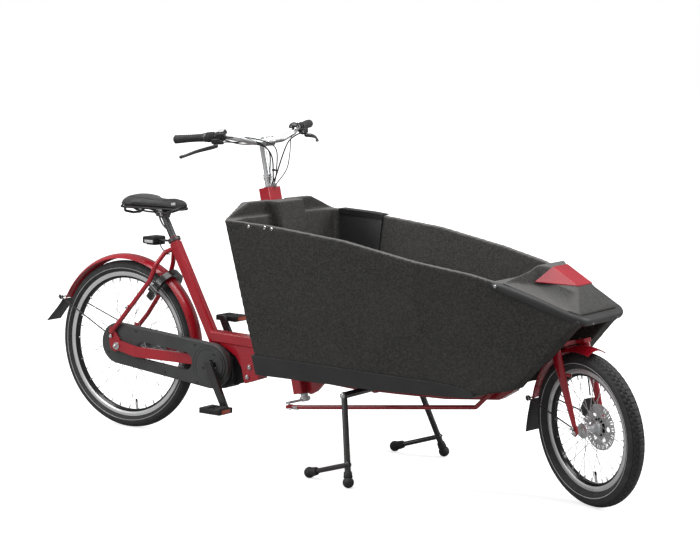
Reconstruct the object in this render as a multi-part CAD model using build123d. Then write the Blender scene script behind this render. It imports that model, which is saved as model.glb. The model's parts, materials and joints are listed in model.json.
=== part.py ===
from build123d import *
from math import atan2, cos, pi, radians, sin, tan
import os

# Front-loading cargo bicycle. Lengths in mm, X forward, Y to the rider's left, Z up.
# Work positions count X from the rear axle; every part is moved back by ORIGIN_X on export, so that
# the row's origin lies on the ground under the middle of the bicycle.
ORIGIN_X = 938.0

# --- driving dimensions ---------------------------------------------------------------------------
WHEELBASE = 2040.0
REAR_RADIUS = 329.0          # 50-559 tyre
REAR_TYRE_WIDTH = 50.0
REAR_BEAD = 279.5
FRONT_RADIUS = 265.0         # 62-406 tyre
FRONT_TYRE_WIDTH = 62.0
FRONT_BEAD = 203.0
SPOKES = 36
REAR_AXLE = (0.0, 0.0, REAR_RADIUS)
FRONT_AXLE = (WHEELBASE, 0.0, FRONT_RADIUS)

STEER_AT_REST = -24.5        # the fork is modelled turned to the right by this much
RAKE = 13.0                  # both steering axes lean back by this angle from the vertical
STEER_ARM = 70.0             # length of both linkage arms
REAR_STEER_X = 898.9         # where the rear steering axis meets the ground
FRONT_STEER_X = 2031.1       # where the front steering axis meets the ground
STEERER_R = 14.0
RUNNING = 0.05               # radial running clearance of every turning joint

BB = (470.0, 0.0, 306.0)     # crank axis
CRANK_LENGTH = 169.0
CRANK_ANGLE = -62.5          # right crank's direction at rest, from +X towards +Z
CHAIN_Y = -52.0
PITCH = 12.7
RING_TEETH = 28
COG_TEETH = 20
CASE_Y = (-66.0, -41.0)      # outer and inner face of the chain case

SEAT_FOOT = (432.0, 0.0, 379.0)
SEAT_ANGLE = 61.0            # seat tube's angle from the horizontal
SEAT_DEPTH = 40.0
SEAT_WIDTH = 38.0
POST_R = 13.6
POST_TOP_Z = 862.0
SADDLE_Z = 880.0

COLUMN_WIDTH = 84.0          # rectangular head tube behind the box

STAND_PIVOT = (1180.0, 0.0, 303.0)
STAND_BUSH_R = 12.0
WALL = 28.0                  # thickness of the cargo box's moulded walls

C = Align.CENTER
CENTRED = (C, C, C)
BASED = (C, C, Align.MIN)


# --- helpers --------------------------------------------------------------------------------------
def steer_point(x_ground, z):
    """The point of a steering axis at height z."""
    return Vector(x_ground - z * tan(radians(RAKE)), 0, z)


def steer_plane(x_ground, z):
    """Plane square to a steering axis, its local X ahead and its local Z up the axis."""
    lean = radians(RAKE)
    origin = steer_point(x_ground, z)
    return Plane(origin=origin, x_dir=(cos(lean), 0, sin(lean)), z_dir=(-sin(lean), 0, cos(lean)))


def turned_to_rest(part, x_ground):
    """Turn a steered part from straight ahead to its rest pose."""
    lean = radians(RAKE)
    axis = Axis((x_ground, 0, 0), (-sin(lean), 0, cos(lean)))
    return part.rotate(axis, STEER_AT_REST)


def rod(a, b, r, r_end=None):
    """Round bar from a to b, tapering to r_end if given."""
    a, b = Vector(*a), Vector(*b)
    plane = Plane(origin=a, z_dir=b - a)
    length = (b - a).length
    if r_end is None:
        return plane * Cylinder(r, length, align=BASED)
    return plane * Cone(r, r_end, length, align=BASED)


def pipe(points, r, bend):
    """Round bar along a bent line."""
    path = FilletPolyline(*points, radius=bend)
    return sweep(Plane(origin=path @ 0, z_dir=path % 0) * Circle(r), path=path)


def curve(points, r):
    """Round bar along a smooth curve through the points."""
    path = Spline(*points)
    return sweep(Plane(origin=path @ 0, z_dir=path % 0) * Circle(r), path=path)


def beam(a, b, width, depth, corner):
    """Rounded rectangular bar from a to b, with its width across the bicycle."""
    a, b = Vector(*a), Vector(*b)
    plane = Plane(origin=a, x_dir=(0, 1, 0), z_dir=b - a)
    return plane * extrude(RectangleRounded(width, depth, corner), (b - a).length)


def plate(outline, y0, y1):
    """Solid with an X-Z outline between two Y faces."""
    face = Plane.XZ * Polygon(*outline, align=None)
    return Pos(0, y1, 0) * extrude(face, y1 - y0, dir=(0, -1, 0))


def stadium(a, ra, b, rb, y0, y1):
    """Solid between two Y faces whose outline wraps a circle at a and a circle at b (X, Z)."""
    ax, az = a
    bx, bz = b
    run = ((bx - ax) ** 2 + (bz - az) ** 2) ** 0.5
    along = atan2(bz - az, bx - ax)
    spread = pi / 2 + (atan2(rb - ra, (run ** 2 - (rb - ra) ** 2) ** 0.5))
    corners = [(ax + ra * cos(along + s * spread), az + ra * sin(along + s * spread)) for s in (1, -1)]
    corners += [(bx + rb * cos(along + s * spread), bz + rb * sin(along + s * spread)) for s in (-1, 1)]
    outline = Polygon(*corners, align=None) + Pos(ax, az) * Circle(ra) + Pos(bx, bz) * Circle(rb)
    return Pos(0, y1, 0) * extrude(Plane.XZ * outline, y1 - y0)


def turned(profile, centre=(0, 0, 0)):
    """Solid of revolution about the Y axis from an outline of (radius, y) points."""
    return Pos(*centre) * revolve(Polygon(*profile, align=None), axis=Axis.Y)


def across(x, z, r, y0, y1):
    """Cylinder along Y."""
    return rod((x, y0, z), (x, y1, z), r)


def nut(x, z, r, y0, y1):
    """Hexagon along Y."""
    face = Plane(origin=(x, y1, z), x_dir=(1, 0, 0), z_dir=(0, -1, 0)) * RegularPolygon(r, 6)
    return extrude(face, y1 - y0, dir=(0, -1, 0))


def mirrored(part):
    return part.mirror(Plane.XZ)


def polar(centre, r, angle, y=0.0):
    """Point in the wheel's plane at an angle from +X towards +Z."""
    return (centre[0] + r * cos(radians(angle)), y, centre[2] + r * sin(radians(angle)))


def polyhedron(points, faces):
    """Closed solid from named corner points and flat faces."""
    sides = []
    for face in faces:
        corners = [Vector(*points[name]) for name in face]
        sides.append(Face(Wire.make_polygon(corners, close=True)))
    return Solid(Shell(sides))


# --- wheels ---------------------------------------------------------------------------------------
def tyre(centre, radius, width, bead):
    """Hollow tyre: straight bead walls that open into a round casing."""
    def side(half, crown, wall, sign):
        heel, toe = (bead, sign * wall), (bead + 6, sign * (wall + 0.5))
        return [Line(heel, toe), ThreePointArc(toe, (radius - 0.42 * width, sign * half), (crown, 0))]

    outer = side(width / 2 - 0.6, radius, 12.2, 1) + side(width / 2 - 0.6, radius, 12.2, -1)
    inner = side(width / 2 - 5, radius - 7, 8.5, 1) + side(width / 2 - 5, radius - 7, 8.5, -1)
    beads = [Line((bead, s * 12.2), (bead, s * 8.5)) for s in (1, -1)]
    return Pos(*centre) * revolve(make_face(outer + inner + beads), axis=Axis.Y)


def rim(centre, bead):
    """Box-section rim with hooked flanges outside the tyre's beads."""
    half = [(bead - 20, 7), (bead - 10, 13), (bead - 4, 15), (bead + 5.5, 15), (bead + 5.5, 13),
            (bead - 0.3, 13)]
    outline = half + [(r, -y) for r, y in reversed(half)]
    hollow = [(bead - 17, -5), (bead - 17, 5), (bead - 9, 10), (bead - 4, 10), (bead - 4, -10),
              (bead - 9, -10)]
    return turned(outline, centre) - turned(hollow, centre)


def spokes(centre, hub_r, flange_y, rim_r):
    """Crossed steel spokes; inner and outer heads keep crossing spokes apart."""
    wires = []
    for i in range(SPOKES):
        side = 1 if i % 2 else -1
        outer = 1 if (i // 2) % 2 else -1
        rim_angle = 360 / SPOKES * i
        hub_angle = rim_angle + outer * 62
        start = polar(centre, hub_r, hub_angle, side * (flange_y + outer * 2.6))
        end = polar(centre, rim_r, rim_angle, side * (2.5 + outer * 1.3))
        wires.append(rod(start, end, 1.0))
    return Compound(children=wires)


def rear_hub():
    half = [(5 + RUNNING, 34), (24, 34), (28, 32), (52, 32), (52, 29), (38, 26), (36, 0), (38, -26),
            (52, -29), (52, -32), (30, -34), (22, -40), (5 + RUNNING, -40)]
    return turned(half, REAR_AXLE)


def rear_sprocket():
    """Toothed sprocket and its driver sleeve on the rear axle."""
    cog = toothed_disc(COG_TEETH, 1.1) - across(0, 0, 16, -3, 3)
    driver = turned([(5 + RUNNING, -40.5), (17, -40.5), (17, -60), (5 + RUNNING, -60)])
    return Pos(*REAR_AXLE) * (Pos(0, CHAIN_Y, 0) * cog + driver)


def toothed_disc(teeth, half_thickness):
    """Chainwheel disc with trapezoid teeth, centred on the origin and turning about Y."""
    pitch_r = PITCH / 2 / sin(pi / teeth)
    root, tip = pitch_r - 3.6, pitch_r + 2.6
    outline = []
    for i in range(teeth):
        for share, r in ((-0.30, root), (-0.12, tip), (0.12, tip), (0.30, root)):
            angle = 2 * pi * (i + share) / teeth
            outline.append((r * cos(angle), r * sin(angle)))
    return plate(outline, -half_thickness, half_thickness)


def rear_axle():
    """Fixed axle with washers and domed nuts outside the dropouts."""
    axle = across(0, REAR_AXLE[2], 5, -92, 92)
    for s in (-1, 1):
        axle += across(0, REAR_AXLE[2], 14, *sorted((s * 76.2, s * 79)))
        axle += nut(0, REAR_AXLE[2], 9.5, *sorted((s * 79, s * 88)))
        axle += Pos(0, s * 88, REAR_AXLE[2]) * Sphere(7)
    return axle


def roller_brake():
    """Drum of the hub brake and the arm that ties it to the left chainstay."""
    drum = turned([(5, 36), (46, 36), (50, 40), (50, 56), (42, 62), (5, 62)], REAR_AXLE)
    fins = turned([(40, 44), (58, 44), (58, 46), (40, 46)], REAR_AXLE) + turned(
        [(40, 50), (58, 50), (58, 52), (40, 52)], REAR_AXLE)
    arm = stadium((0, 329), 18, (134, 322), 9, 56, 61)
    return drum + fins + arm - across(0, REAR_AXLE[2], 5, 30, 70)


def front_hub():
    outline = [(5 + RUNNING, -36), (12, -36), (14, -33), (26, -31), (26, -28), (15, -22), (15, 20), (27, 25),
               (27, 28), (22, 30), (22, 38), (13, 41), (5 + RUNNING, 41)]
    return turned(outline, FRONT_AXLE)


def brake_rotor():
    """Slotted disc with its carrier, bolted to the front hub's left side."""
    disc = across(0, 0, 80, 41.5, 43.3)
    for i in range(36):
        slot = Pos(69, 42, 0) * Box(13, 8, 3.2)
        disc -= slot.rotate(Axis.Y, 10 * i + (3 if i % 2 else 0))
    for i in range(6):
        disc -= across(0, 0, 8, 38, 46).moved(Location((46 * cos(pi / 3 * i), 0, 46 * sin(pi / 3 * i))))
    disc -= across(0, 0, 14, 38, 46)
    return Pos(*FRONT_AXLE) * disc


def arc_guard(centre, r, half_width, drop, thickness, start, end):
    """Mudguard: an arched strip bent round a wheel from one angle to another."""
    side = 0.55 * half_width
    top = [ThreePointArc((r - drop, -half_width), (r - 0.28 * drop, -side), (r, 0)),
           ThreePointArc((r, 0), (r - 0.28 * drop, side), (r - drop, half_width))]
    low = r - thickness
    inner = half_width - thickness
    under = [ThreePointArc((low - drop, -inner), (low - 0.28 * drop, -side * 0.96), (low, 0)),
             ThreePointArc((low, 0), (low - 0.28 * drop, side * 0.96), (low - drop, inner))]
    ends = [Line((r - drop, s * half_width), (low - drop, s * inner)) for s in (-1, 1)]
    spin = Axis((0, 0, 0), (0, -1, 0))
    strip = revolve(make_face(top + under + ends), axis=spin, revolution_arc=end - start)
    return Pos(*centre) * strip.rotate(spin, start)


def guard_flap(centre, r, start, end, flare, half_width, wider):
    """Rubber flap that carries on from a mudguard and flares outwards."""
    steps = 6
    faces = []
    for i in range(steps + 1):
        share = i / steps
        angle = start + (end - start) * share
        out = r + flare * share ** 1.6
        half = half_width + wider * share
        base = Plane(origin=polar(centre, out, angle), x_dir=(0, 1, 0),
                     z_dir=(-sin(radians(angle)), 0, cos(radians(angle))))
        faces.append(base * Rectangle(2 * half, 3.2))
    return loft(faces, ruled=True)


def guard_stays(centre, r, angle, half_width, foot_y, feet):
    """Two wire stays from the axle eyelets to the clip on a mudguard."""
    x, _, z = polar(centre, r, angle)
    stays = across(x, z, 2.6, -half_width, half_width)
    for s in (-1, 1):
        stays += rod((feet[0], s * foot_y, feet[1]), (x, s * half_width, z), 2.6)
        stays += across(x, z, 4.5, *sorted((s * (half_width - 5), s * (half_width + 5))))
    return stays


# --- frame ----------------------------------------------------------------------------------------
def seat_point(z):
    """Point of the seat tube's axis at height z."""
    return Vector(SEAT_FOOT[0] - (z - SEAT_FOOT[2]) / tan(radians(SEAT_ANGLE)), 0, z)


def chainstay():
    """Right chainstay: passes from outside the chain, through its loop, to the inside."""
    stations = [(-14, -73, 336, 44, 6), (22, -73, 330, 42, 6), (94, -77, 318, 40, 15),
                (150, -70, 316, 40, 16), (345, -32, 311, 40, 16), (436, -31, 309, 40, 15)]
    faces = []
    for x, y, z, height, width in stations:
        section = Plane(origin=(x, y, z), x_dir=(0, 1, 0), z_dir=(1, 0, 0))
        faces.append(section * Rectangle(width, height))
    return loft(faces, ruled=True)


def dropout():
    """Right dropout plate with the axle slot."""
    outline = [(-34, 402), (-14, 398), (2, 372), (16, 356), (16, 312), (-8, 306), (-30, 318), (-38, 350)]
    return plate(outline, -76, -70)


def seat_stays():
    """Both seat stays with the bridge that carries the mudguard and the lock."""
    line = [(-26, -77, 380), (30, -77, 442), (152, -60, 596), (176, -52, 660), (200, -26, 708),
            (226, -10, 722)]
    right = pipe(line, 9, 22)
    boss = rod((72, -70, 496), (60, -82, 490), 6)
    return right + boss + mirrored(right + boss)


def main_beam():
    """Welded box-section beam: from the seat tube, under the box, up to the front head tube."""
    top = [(418, 426), (650, 422), (730, 400), (784, 362), (806, 332), (1300, 336), (1549, 345),
           (1650, 352), (1706, 398), (1772, 488), (1822, 560), (1868, 640)]
    under = [(1900, 600), (1870, 545), (1838, 500), (1800, 450), (1768, 400), (1731, 350), (1681, 318),
             (1466, 294), (1275, 287), (1078, 282), (900, 290), (820, 302), (745, 322), (690, 352),
             (640, 382), (428, 386)]
    body = plate(top + under, -28, 28)
    long_edges = body.edges().filter_by(Axis.Y, reverse=True)
    return fillet(long_edges, 5)


MOTOR_LOW = (478, 272)
MOTOR_BOLTS = ((610, 308), (600, 270))
BRACKET_Y = (-24, 30)


def motor_envelope(grow, y0, y1):
    return stadium((BB[0], BB[2]), 62 + grow, MOTOR_LOW, 58 + grow, y0, y1)


def motor_lug(grow):
    """Flat tongue at the front of the motor, which the bracket's two cheeks hold."""
    outline = [(480, 335), (600, 326 + grow), (618 + grow, 316 + grow), (618 + grow, 262 - grow),
               (600, 252 - grow), (540, 232 - grow), (480, 228)]
    return plate(outline, -6 - grow / 4, 14 + grow / 4)


def motor_bracket():
    """Curved bracket under the beam, open in the middle for the motor's tongue."""
    outline = [(452, 390), (640, 386), (652, 266), (588, 243), (580, 262), (572, 300), (545, 342), (500, 366)]
    return plate(outline, *BRACKET_Y) - motor_lug(4)


def motor_ears():
    """Side plates from the seat tube's foot to the crank axis, and the yoke of the chainstays."""
    yoke = Pos(386, 0, 320) * Box(24, 78, 58)
    for y0, y1 in ((-39, -31.5), (55.5, 63)):
        yoke += stadium((408, 346), 30, (BB[0], BB[2]), 42, y0, y1) - across(BB[0], BB[2], 28, y0 - 5, y1 + 5)
    yoke += Pos(408, 40, 352) * Box(26, 40, 30)
    return yoke


def rear_column_tube():
    """Rectangular head tube behind the box, with gussets to the beam."""
    low, high = steer_point(REAR_STEER_X, 238), steer_point(REAR_STEER_X, 985)
    tube = beam(low, high, COLUMN_WIDTH, 44, 8)
    gusset = plate([(700, 345), (950, 300), (905, 250), (880, 236), (826, 250), (780, 300)], -8, 8)
    return tube + gusset


# Both head tubes: where the axis meets the ground, then the heights of the lower and upper end.
HEAD_ENDS = ((REAR_STEER_X, (238, 985)), (FRONT_STEER_X, (548, 655)))


def head_bores():
    """Clearance for both steerers, with wider seats for the headset cups."""
    rear = rod(steer_point(REAR_STEER_X, 200), steer_point(REAR_STEER_X, 1020), STEERER_R + 1.5)
    front = rod(steer_point(FRONT_STEER_X, 520), steer_point(FRONT_STEER_X, 700), STEERER_R + 1.5)
    bores = rear + front
    for x_ground, ends in HEAD_ENDS:
        for z in ends:
            bores += steer_plane(x_ground, z) * Cylinder(STEERER_R + 4, 30, align=CENTRED)
    return bores


def main_frame():
    seat_tube = beam(seat_point(342), seat_point(744), SEAT_WIDTH, SEAT_DEPTH, 10)
    collar_neck = rod(seat_point(725), seat_point(764), 20)
    bore = rod(seat_point(470), seat_point(800), POST_R + RUNNING)
    front_head = rod(steer_point(FRONT_STEER_X, 548), steer_point(FRONT_STEER_X, 655), 23)
    stay = chainstay() + dropout()
    cross_members = Pos(930, 0, 326) * Box(44, 360, 12) + Pos(1500, 0, 335) * Box(44, 340, 12)
    frame = main_beam() + seat_tube + collar_neck + rear_column_tube() + front_head
    frame += stay + mirrored(stay) + seat_stays() + motor_bracket() + motor_ears() + cross_members
    frame += across(STAND_PIVOT[0], STAND_PIVOT[2], 18, -42, 42)
    frame -= bore + head_bores() + motor_envelope(1.5, -32, 56)
    frame -= across(STAND_PIVOT[0], STAND_PIVOT[2], STAND_BUSH_R + RUNNING, -50, 50)
    frame -= across(REAR_AXLE[0], REAR_AXLE[2], 5.1, -90, 90)
    for x, z in MOTOR_BOLTS:
        frame -= across(x, z, 5, -45, 70)
    return frame


def headset_cups():
    """Four pressed cups that guide the two steerers."""
    cups = []
    for x_ground, ends in HEAD_ENDS:
        for z, way in zip(ends, (-1, 1)):
            ring = Cylinder(STEERER_R + 4, 15, align=BASED)
            lip = Pos(0, 0, -3.4) * Cylinder(STEERER_R + 7, 3.4, align=BASED)
            hole = Pos(0, 0, -5) * Cylinder(STEERER_R + RUNNING, 30, align=BASED)
            cup = ring + lip - hole
            if way > 0:
                cup = cup.rotate(Axis.X, 180)
            cups.append(steer_plane(x_ground, z) * cup)
    return Compound(children=cups)


def seat_collar():
    """Clamp ring with its cross bolt, and the bracket of the rear light."""
    low, high = seat_point(750), seat_point(800)
    band = Cylinder(25, 13, align=BASED) - Cylinder(20.1, 13, align=BASED)
    ring = Plane(origin=low, z_dir=high - low) * band
    bolt = rod((low.X - 27, -20, 752), (low.X - 27, 20, 752), 4)
    arm = beam((low.X - 22, 0, 750), (150, 0, 750), 16, 6, 2)
    return ring + bolt + arm


def rear_light():
    """Lamp body behind the seat collar, open at the back for its lens."""
    body = fillet((Pos(123, 0, 749) * Box(54, 72, 28)).edges().filter_by(Axis.Y), 7)
    return body - Pos(99, 0, 748) * Box(14, 60, 17)


def rear_light_lens():
    return Pos(99.2, 0, 748) * Box(13.5, 59.6, 16.6)


def ring_lock():
    """Horseshoe lock round the rear tyre, on two bosses of the seat stays."""
    angle = 53.0
    ring_plane = Plane(origin=polar(REAR_AXLE, 312, angle), x_dir=(0, 1, 0),
                       z_dir=(-sin(radians(angle)), 0, cos(radians(angle))))
    arc = Circle(68) - Circle(52)
    legs = [Pos(s * 60, 30) * RectangleRounded(17, 66, 5) for s in (-1, 1)]
    shape = (arc & Pos(0, -50) * Rectangle(200, 100)) + legs[0] + legs[1]
    body = ring_plane * extrude(shape, 13, both=True)
    barrel = ring_plane * (Pos(-64, 20, 0) * Cylinder(15, 34, align=CENTRED))
    return body + barrel


# --- drive ----------------------------------------------------------------------------------------
def motor_housing():
    """Mid motor: crank drum and rotor drum in one casing, with a bore for the crank spindle."""
    body = motor_envelope(0, -30, 54)
    rims = body.edges().filter_by(GeomType.CIRCLE)
    body = fillet(rims, 7)
    boss = across(BB[0], BB[2], 27, -44, 60)
    ribs = stadium((BB[0], BB[2]), 50, MOTOR_LOW, 46, -31.5, 55.5)
    housing = body + boss + ribs + motor_lug(0) - across(BB[0], BB[2], 10 + RUNNING, -60, 70)
    for x, z in MOTOR_BOLTS:
        housing -= across(x, z, 5, -45, 70)
    return housing


def mount_bolts():
    """Bolts through the bracket and the motor's tongue, as one group."""
    bolts = []
    y0, y1 = BRACKET_Y
    for x, z in MOTOR_BOLTS:
        shank = across(x, z, 4.9, y0 - 5, y1 + 5)
        bolts.append(shank + nut(x, z, 9, y0 - 6.1, y0 - 0.1) + nut(x, z, 9, y1 + 0.1, y1 + 6.1))
    return Compound(children=bolts)


def chain_case():
    """Hollow two-lobed case with a slot through which the chainstay passes."""
    rear, front = (-3, 338), (452, 300)
    y0, y1 = CASE_Y
    outer = stadium(rear, 80, front, 86, y0, y1)
    outer = fillet(outer.faces().sort_by(Axis.Y)[0].edges(), 5)
    outer += across(BB[0], BB[2], 58, y0 - 5, y0 + 2) + across(BB[0], BB[2], 50, y0 - 9, y0)
    hollow = stadium(rear, 77.5, front, 83.5, y0 + 2.5, y1 - 2.5)
    hollow += across(BB[0], BB[2], 47, y0 - 6.5, y0 + 3)
    slot_rear, slot_front = (125, 322), (332, 306)
    wall = stadium(slot_rear, 37.5, slot_front, 37.5, y0, y1)
    slot = stadium(slot_rear, 35, slot_front, 35, y0 - 20, y1 + 20)
    case = outer - hollow + wall - slot
    case -= across(0, REAR_AXLE[2], 34, y1 - 5, y1 + 5) + across(0, REAR_AXLE[2], 12, y0 - 5, y0 + 5)
    case -= across(BB[0], BB[2], 30, y1 - 5, y1 + 5) + across(BB[0], BB[2], 20, y0 - 20, y0 + 5)
    return case


def chain():
    """Closed loop: two rows of side plates, bridged by rollers on the straight runs."""
    rear_r = PITCH / 2 / sin(pi / COG_TEETH)
    front_r = PITCH / 2 / sin(pi / RING_TEETH)
    rear, front = (REAR_AXLE[0], REAR_AXLE[2]), (BB[0], BB[2])

    def loop(grow, y0, y1):
        return stadium(rear, rear_r + grow, front, front_r + grow, y0, y1)

    plates = loop(4.2, CHAIN_Y - 3.6, CHAIN_Y - 2.5) + loop(4.2, CHAIN_Y + 2.5, CHAIN_Y + 3.6)
    plates -= loop(-4.2, CHAIN_Y - 10, CHAIN_Y + 10)
    rollers = loop(2.6, CHAIN_Y - 2.6, CHAIN_Y + 2.6) - loop(-2.6, CHAIN_Y - 10, CHAIN_Y + 10)
    straight = Pos(222, CHAIN_Y, 320) * Box(310, 12, 300)
    return plates + (rollers & straight)


def crank_arms():
    """Spindle, both arms half a turn apart, and the pedal pins."""
    spindle = across(BB[0], BB[2], 10, -99, 99)
    right_end = polar(BB, CRANK_LENGTH, CRANK_ANGLE)
    left_end = polar(BB, CRANK_LENGTH, CRANK_ANGLE + 180)
    foot = (BB[0], BB[2])
    right = stadium(foot, 17, (right_end[0], right_end[2]), 13, -100, -86)
    right += across(right_end[0], right_end[2], 5, -186, -98)
    left = stadium(foot, 17, (left_end[0], left_end[2]), 13, 86, 100)
    left += across(left_end[0], left_end[2], 5, 98, 186)
    return spindle + right + left


def chainring():
    ring = Pos(0, CHAIN_Y, 0) * toothed_disc(RING_TEETH, 1.2)
    for i in range(5):
        window = across(0, 0, 9, CHAIN_Y - 5, CHAIN_Y + 5)
        ring -= window.moved(Location((36 * cos(2 * pi * i / 5), 0, 36 * sin(2 * pi * i / 5))))
    sleeve = across(0, 0, 22, CHAIN_Y - 4, CHAIN_Y + 4)
    return Pos(*BB) * (ring + sleeve - across(0, 0, 10, -80, -20))


def pedal(x, z, side):
    """Flat pedal: barrel on the pin, and a cage of two rails and end plates."""
    barrel = across(x, z, 11, 108, 186)
    cage = Pos(x, 148, z) * (Box(96, 84, 22) - Box(78, 68, 40))
    cage = fillet(cage.edges().filter_by(Axis.Z).group_by(Axis.Y)[-1], 6)
    webs = Pos(x, 148, z) * Box(80, 12, 12) + Pos(x, 112, z) * Box(80, 10, 12)
    body = barrel + cage + webs - across(x, z, 5 + RUNNING, 90, 187.5)
    return body if side > 0 else mirrored(body)


# --- saddle ---------------------------------------------------------------------------------------
def seat_post():
    """Post with its clamp head and the thin curved brace behind it."""
    post = rod(seat_point(540), seat_point(POST_TOP_Z - 18), POST_R)
    head = Pos(166, 0, POST_TOP_Z - 10) * Box(44, 38, 20)
    brace_top = (146, 0, POST_TOP_Z - 14)
    brace = curve([brace_top, (154, 0, 828), (174, 0, 803), seat_point(792)], 3.4)
    return post + fillet(head.edges(), 5) + brace


def saddle_rails():
    """Two steel rails and the rear bumper loop under the saddle."""
    rail = pipe([(262, -12, 2), (232, -20, -10), (194, -22, -22), (110, -22, -22), (60, -34, -16),
                 (34, -52, 6)], 3.5, 12)
    bumper = pipe([(30, -62, -2), (24, -56, -22), (36, -20, -30), (36, 20, -30), (24, 56, -22),
                   (30, 62, -2)], 5, 9)
    return Pos(0, 0, SADDLE_Z) * (rail + mirrored(rail) + bumper)


def saddle():
    """Padded saddle: wide rounded tail narrowing to the nose."""
    half = [(6, 52), (22, 90), (60, 104), (110, 84), (160, 44), (210, 27), (262, 20), (284, 9)]
    edge = Spline(*half, tangents=[(0.2, 1), (0.3, -1)])
    other = Spline(*[(x, -y) for x, y in half], tangents=[(0.2, -1), (0.3, 1)])
    tail = Spline((6, -52), (12, 0), (6, 52))
    nose = Line((284, 9), (284, -9))
    outline = make_face([edge, other, tail, nose])
    profile = [(0, 0), (60, 8), (150, 0), (290, -2), (290, 26), (262, 33), (230, 33), (195, 28),
               (150, 29), (90, 38), (40, 40), (0, 24)]
    pad = Pos(0, 0, -4) * extrude(outline, 54)
    return Pos(0, 0, SADDLE_Z) * (pad & plate(profile, -130, 130))


# --- steering -------------------------------------------------------------------------------------
def steering_column():
    """Long steerer with the linkage arm and its ball pin at the bottom."""
    tube = rod(steer_point(REAR_STEER_X, 206), steer_point(REAR_STEER_X, 1010), STEERER_R)
    collar = steer_plane(REAR_STEER_X, 213) * (Pos(0, 0, 3) * Cylinder(20, 14, align=CENTRED))
    arm = extrude(Circle(19) + Pos(0, -STEER_ARM) * Circle(12) +
                  Pos(0, -STEER_ARM / 2) * Rectangle(24, STEER_ARM), 8)
    pin = Pos(0, -STEER_ARM, -18) * Cylinder(4, 22, align=BASED)
    return tube + collar + steer_plane(REAR_STEER_X, 209) * (arm + pin)


def steering_rod():
    """Linkage rod: an eye at each end, straight under the box, then up behind the front wheel."""
    side = -STEER_ARM
    rear_eye = steer_plane(REAR_STEER_X, 209) * Pos(0, side, -10.5)
    front_eye = steer_plane(FRONT_STEER_X, 530) * Pos(0, side, -12)
    start = rear_eye.position
    bend, end = (front_eye * Pos(back, 0, 0) for back in (-60, -9))
    line = [(start.X + 9, side, start.Z), (start.X + 60, side, start.Z + 5), (1642, side, 297),
            (1690, side, 345), (1745, side, 450), (1790, side, 498), bend.position, end.position]
    tube = pipe(line, 8, 14)
    for eye, bore in ((rear_eye, 4 + RUNNING), (front_eye, 4.5)):
        tube += eye * Cylinder(11, 11, align=CENTRED)
    for eye, bore in ((rear_eye, 4 + RUNNING), (front_eye, 4.5)):
        tube -= eye * Cylinder(bore, 40, align=CENTRED)
    return tube


BAR_X, BAR_Z = 680, 1157


def stem():
    """Quill stem: up the steering axis, then forward to the bar clamp."""
    quill = rod(steer_point(REAR_STEER_X, 940), steer_point(REAR_STEER_X, BAR_Z - 23), 11.2)
    quill -= rod(steer_point(REAR_STEER_X, 900), steer_point(REAR_STEER_X, 1010), 30)
    top_nut = steer_plane(REAR_STEER_X, 1012) * Cylinder(15, 10, align=BASED)
    top = steer_point(REAR_STEER_X, BAR_Z - 25)
    neck = curve([top, (top.X + 6, 0, BAR_Z - 11), (660, 0, BAR_Z - 1), (678, 0, BAR_Z)], 11)
    clamp = across(BAR_X, BAR_Z, 18, -22, 22)
    return quill + top_nut + Pos(*top) * Sphere(11.5) + neck + clamp - across(BAR_X, BAR_Z, 12.6, -30, 30)


BAR = [(BAR_X, 0, BAR_Z), (684, 58, 1160), (674, 112, 1178), (632, 152, 1188), (500, 284, 1180)]
GRIP_IN, GRIP_OUT = (592, 192, 1185.6), BAR[-1]


def bar_point(share, lift=0.0, ahead=0.0, side=1):
    """Point along the left grip axis, 0 at its inner end and 1 at the tip; side -1 mirrors it."""
    x = GRIP_IN[0] + (GRIP_OUT[0] - GRIP_IN[0]) * share + ahead * 0.7
    y = GRIP_IN[1] + (GRIP_OUT[1] - GRIP_IN[1]) * share + ahead * 0.7
    z = GRIP_IN[2] + (GRIP_OUT[2] - GRIP_IN[2]) * share + lift
    return Vector(x, side * y, z)


def handlebar():
    left = [Vector(*p) for p in BAR]
    right = [Vector(x, -y, z) for x, y, z in BAR]
    return pipe(list(reversed(right)) + left[1:], 11.1, 30)


def grips():
    """Pair of grips with a flared palm rest at the outer end."""
    pair = []
    for s in (-1, 1):
        start, end = bar_point(0.12 if s < 0 else -0.02, side=s), bar_point(1.04, side=s)
        body = rod(start, end, 15, 17.5)
        wing = Pos(*bar_point(0.78, side=s, ahead=-6)) * Rot(0, 0, s * 135) * Box(72, 40, 14)
        wing = fillet(wing.edges(), 6)
        tip = bar_point(1.0, side=s)
        pair.append(body + wing - rod(bar_point(-0.5, side=s), tip, 11.1))
    return Compound(children=pair)


def perches():
    """Clamps that hold the brake levers, and the display housing under the right one."""
    both = []
    for s in (-1, 1):
        clamp = rod(bar_point(-0.30, side=s), bar_point(-0.17, side=s), 16)
        block = Pos(*bar_point(-0.23, lift=-16, ahead=18, side=s)) * Rot(0, 0, s * 135) * Box(17, 30, 20)
        body = clamp + fillet(block.edges(), 3) - rod(bar_point(-0.8, side=s), bar_point(0.2, side=s), 11.1)
        body -= lever_pivot(s, 3 + RUNNING, 40)
        both.append(body)
    return Compound(children=both)


def lever_pivot(side, r, length):
    """Pin of a brake lever, upright at the front of its clamp."""
    centre = bar_point(-0.23, lift=-24, ahead=30, side=side)
    return Pos(*centre) * Cylinder(r, length, align=CENTRED)


def brake_lever(side):
    """Curved blade that hangs in front of and below the grip."""
    low = bar_point(-0.23, lift=-31, ahead=30, side=side)
    path = [low]
    for share, lift, ahead in ((-0.10, -34, 44), (0.30, -44, 46), (0.62, -56, 42), (0.80, -62, 36)):
        path.append(bar_point(share, lift=lift, ahead=ahead, side=side))
    blade = curve(path, 5)
    hub = Pos(*low) * Cylinder(8, 8, align=CENTRED)
    return blade + hub + Pos(*path[-1]) * Sphere(6.5) + lever_pivot(side, 3, 22)


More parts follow.
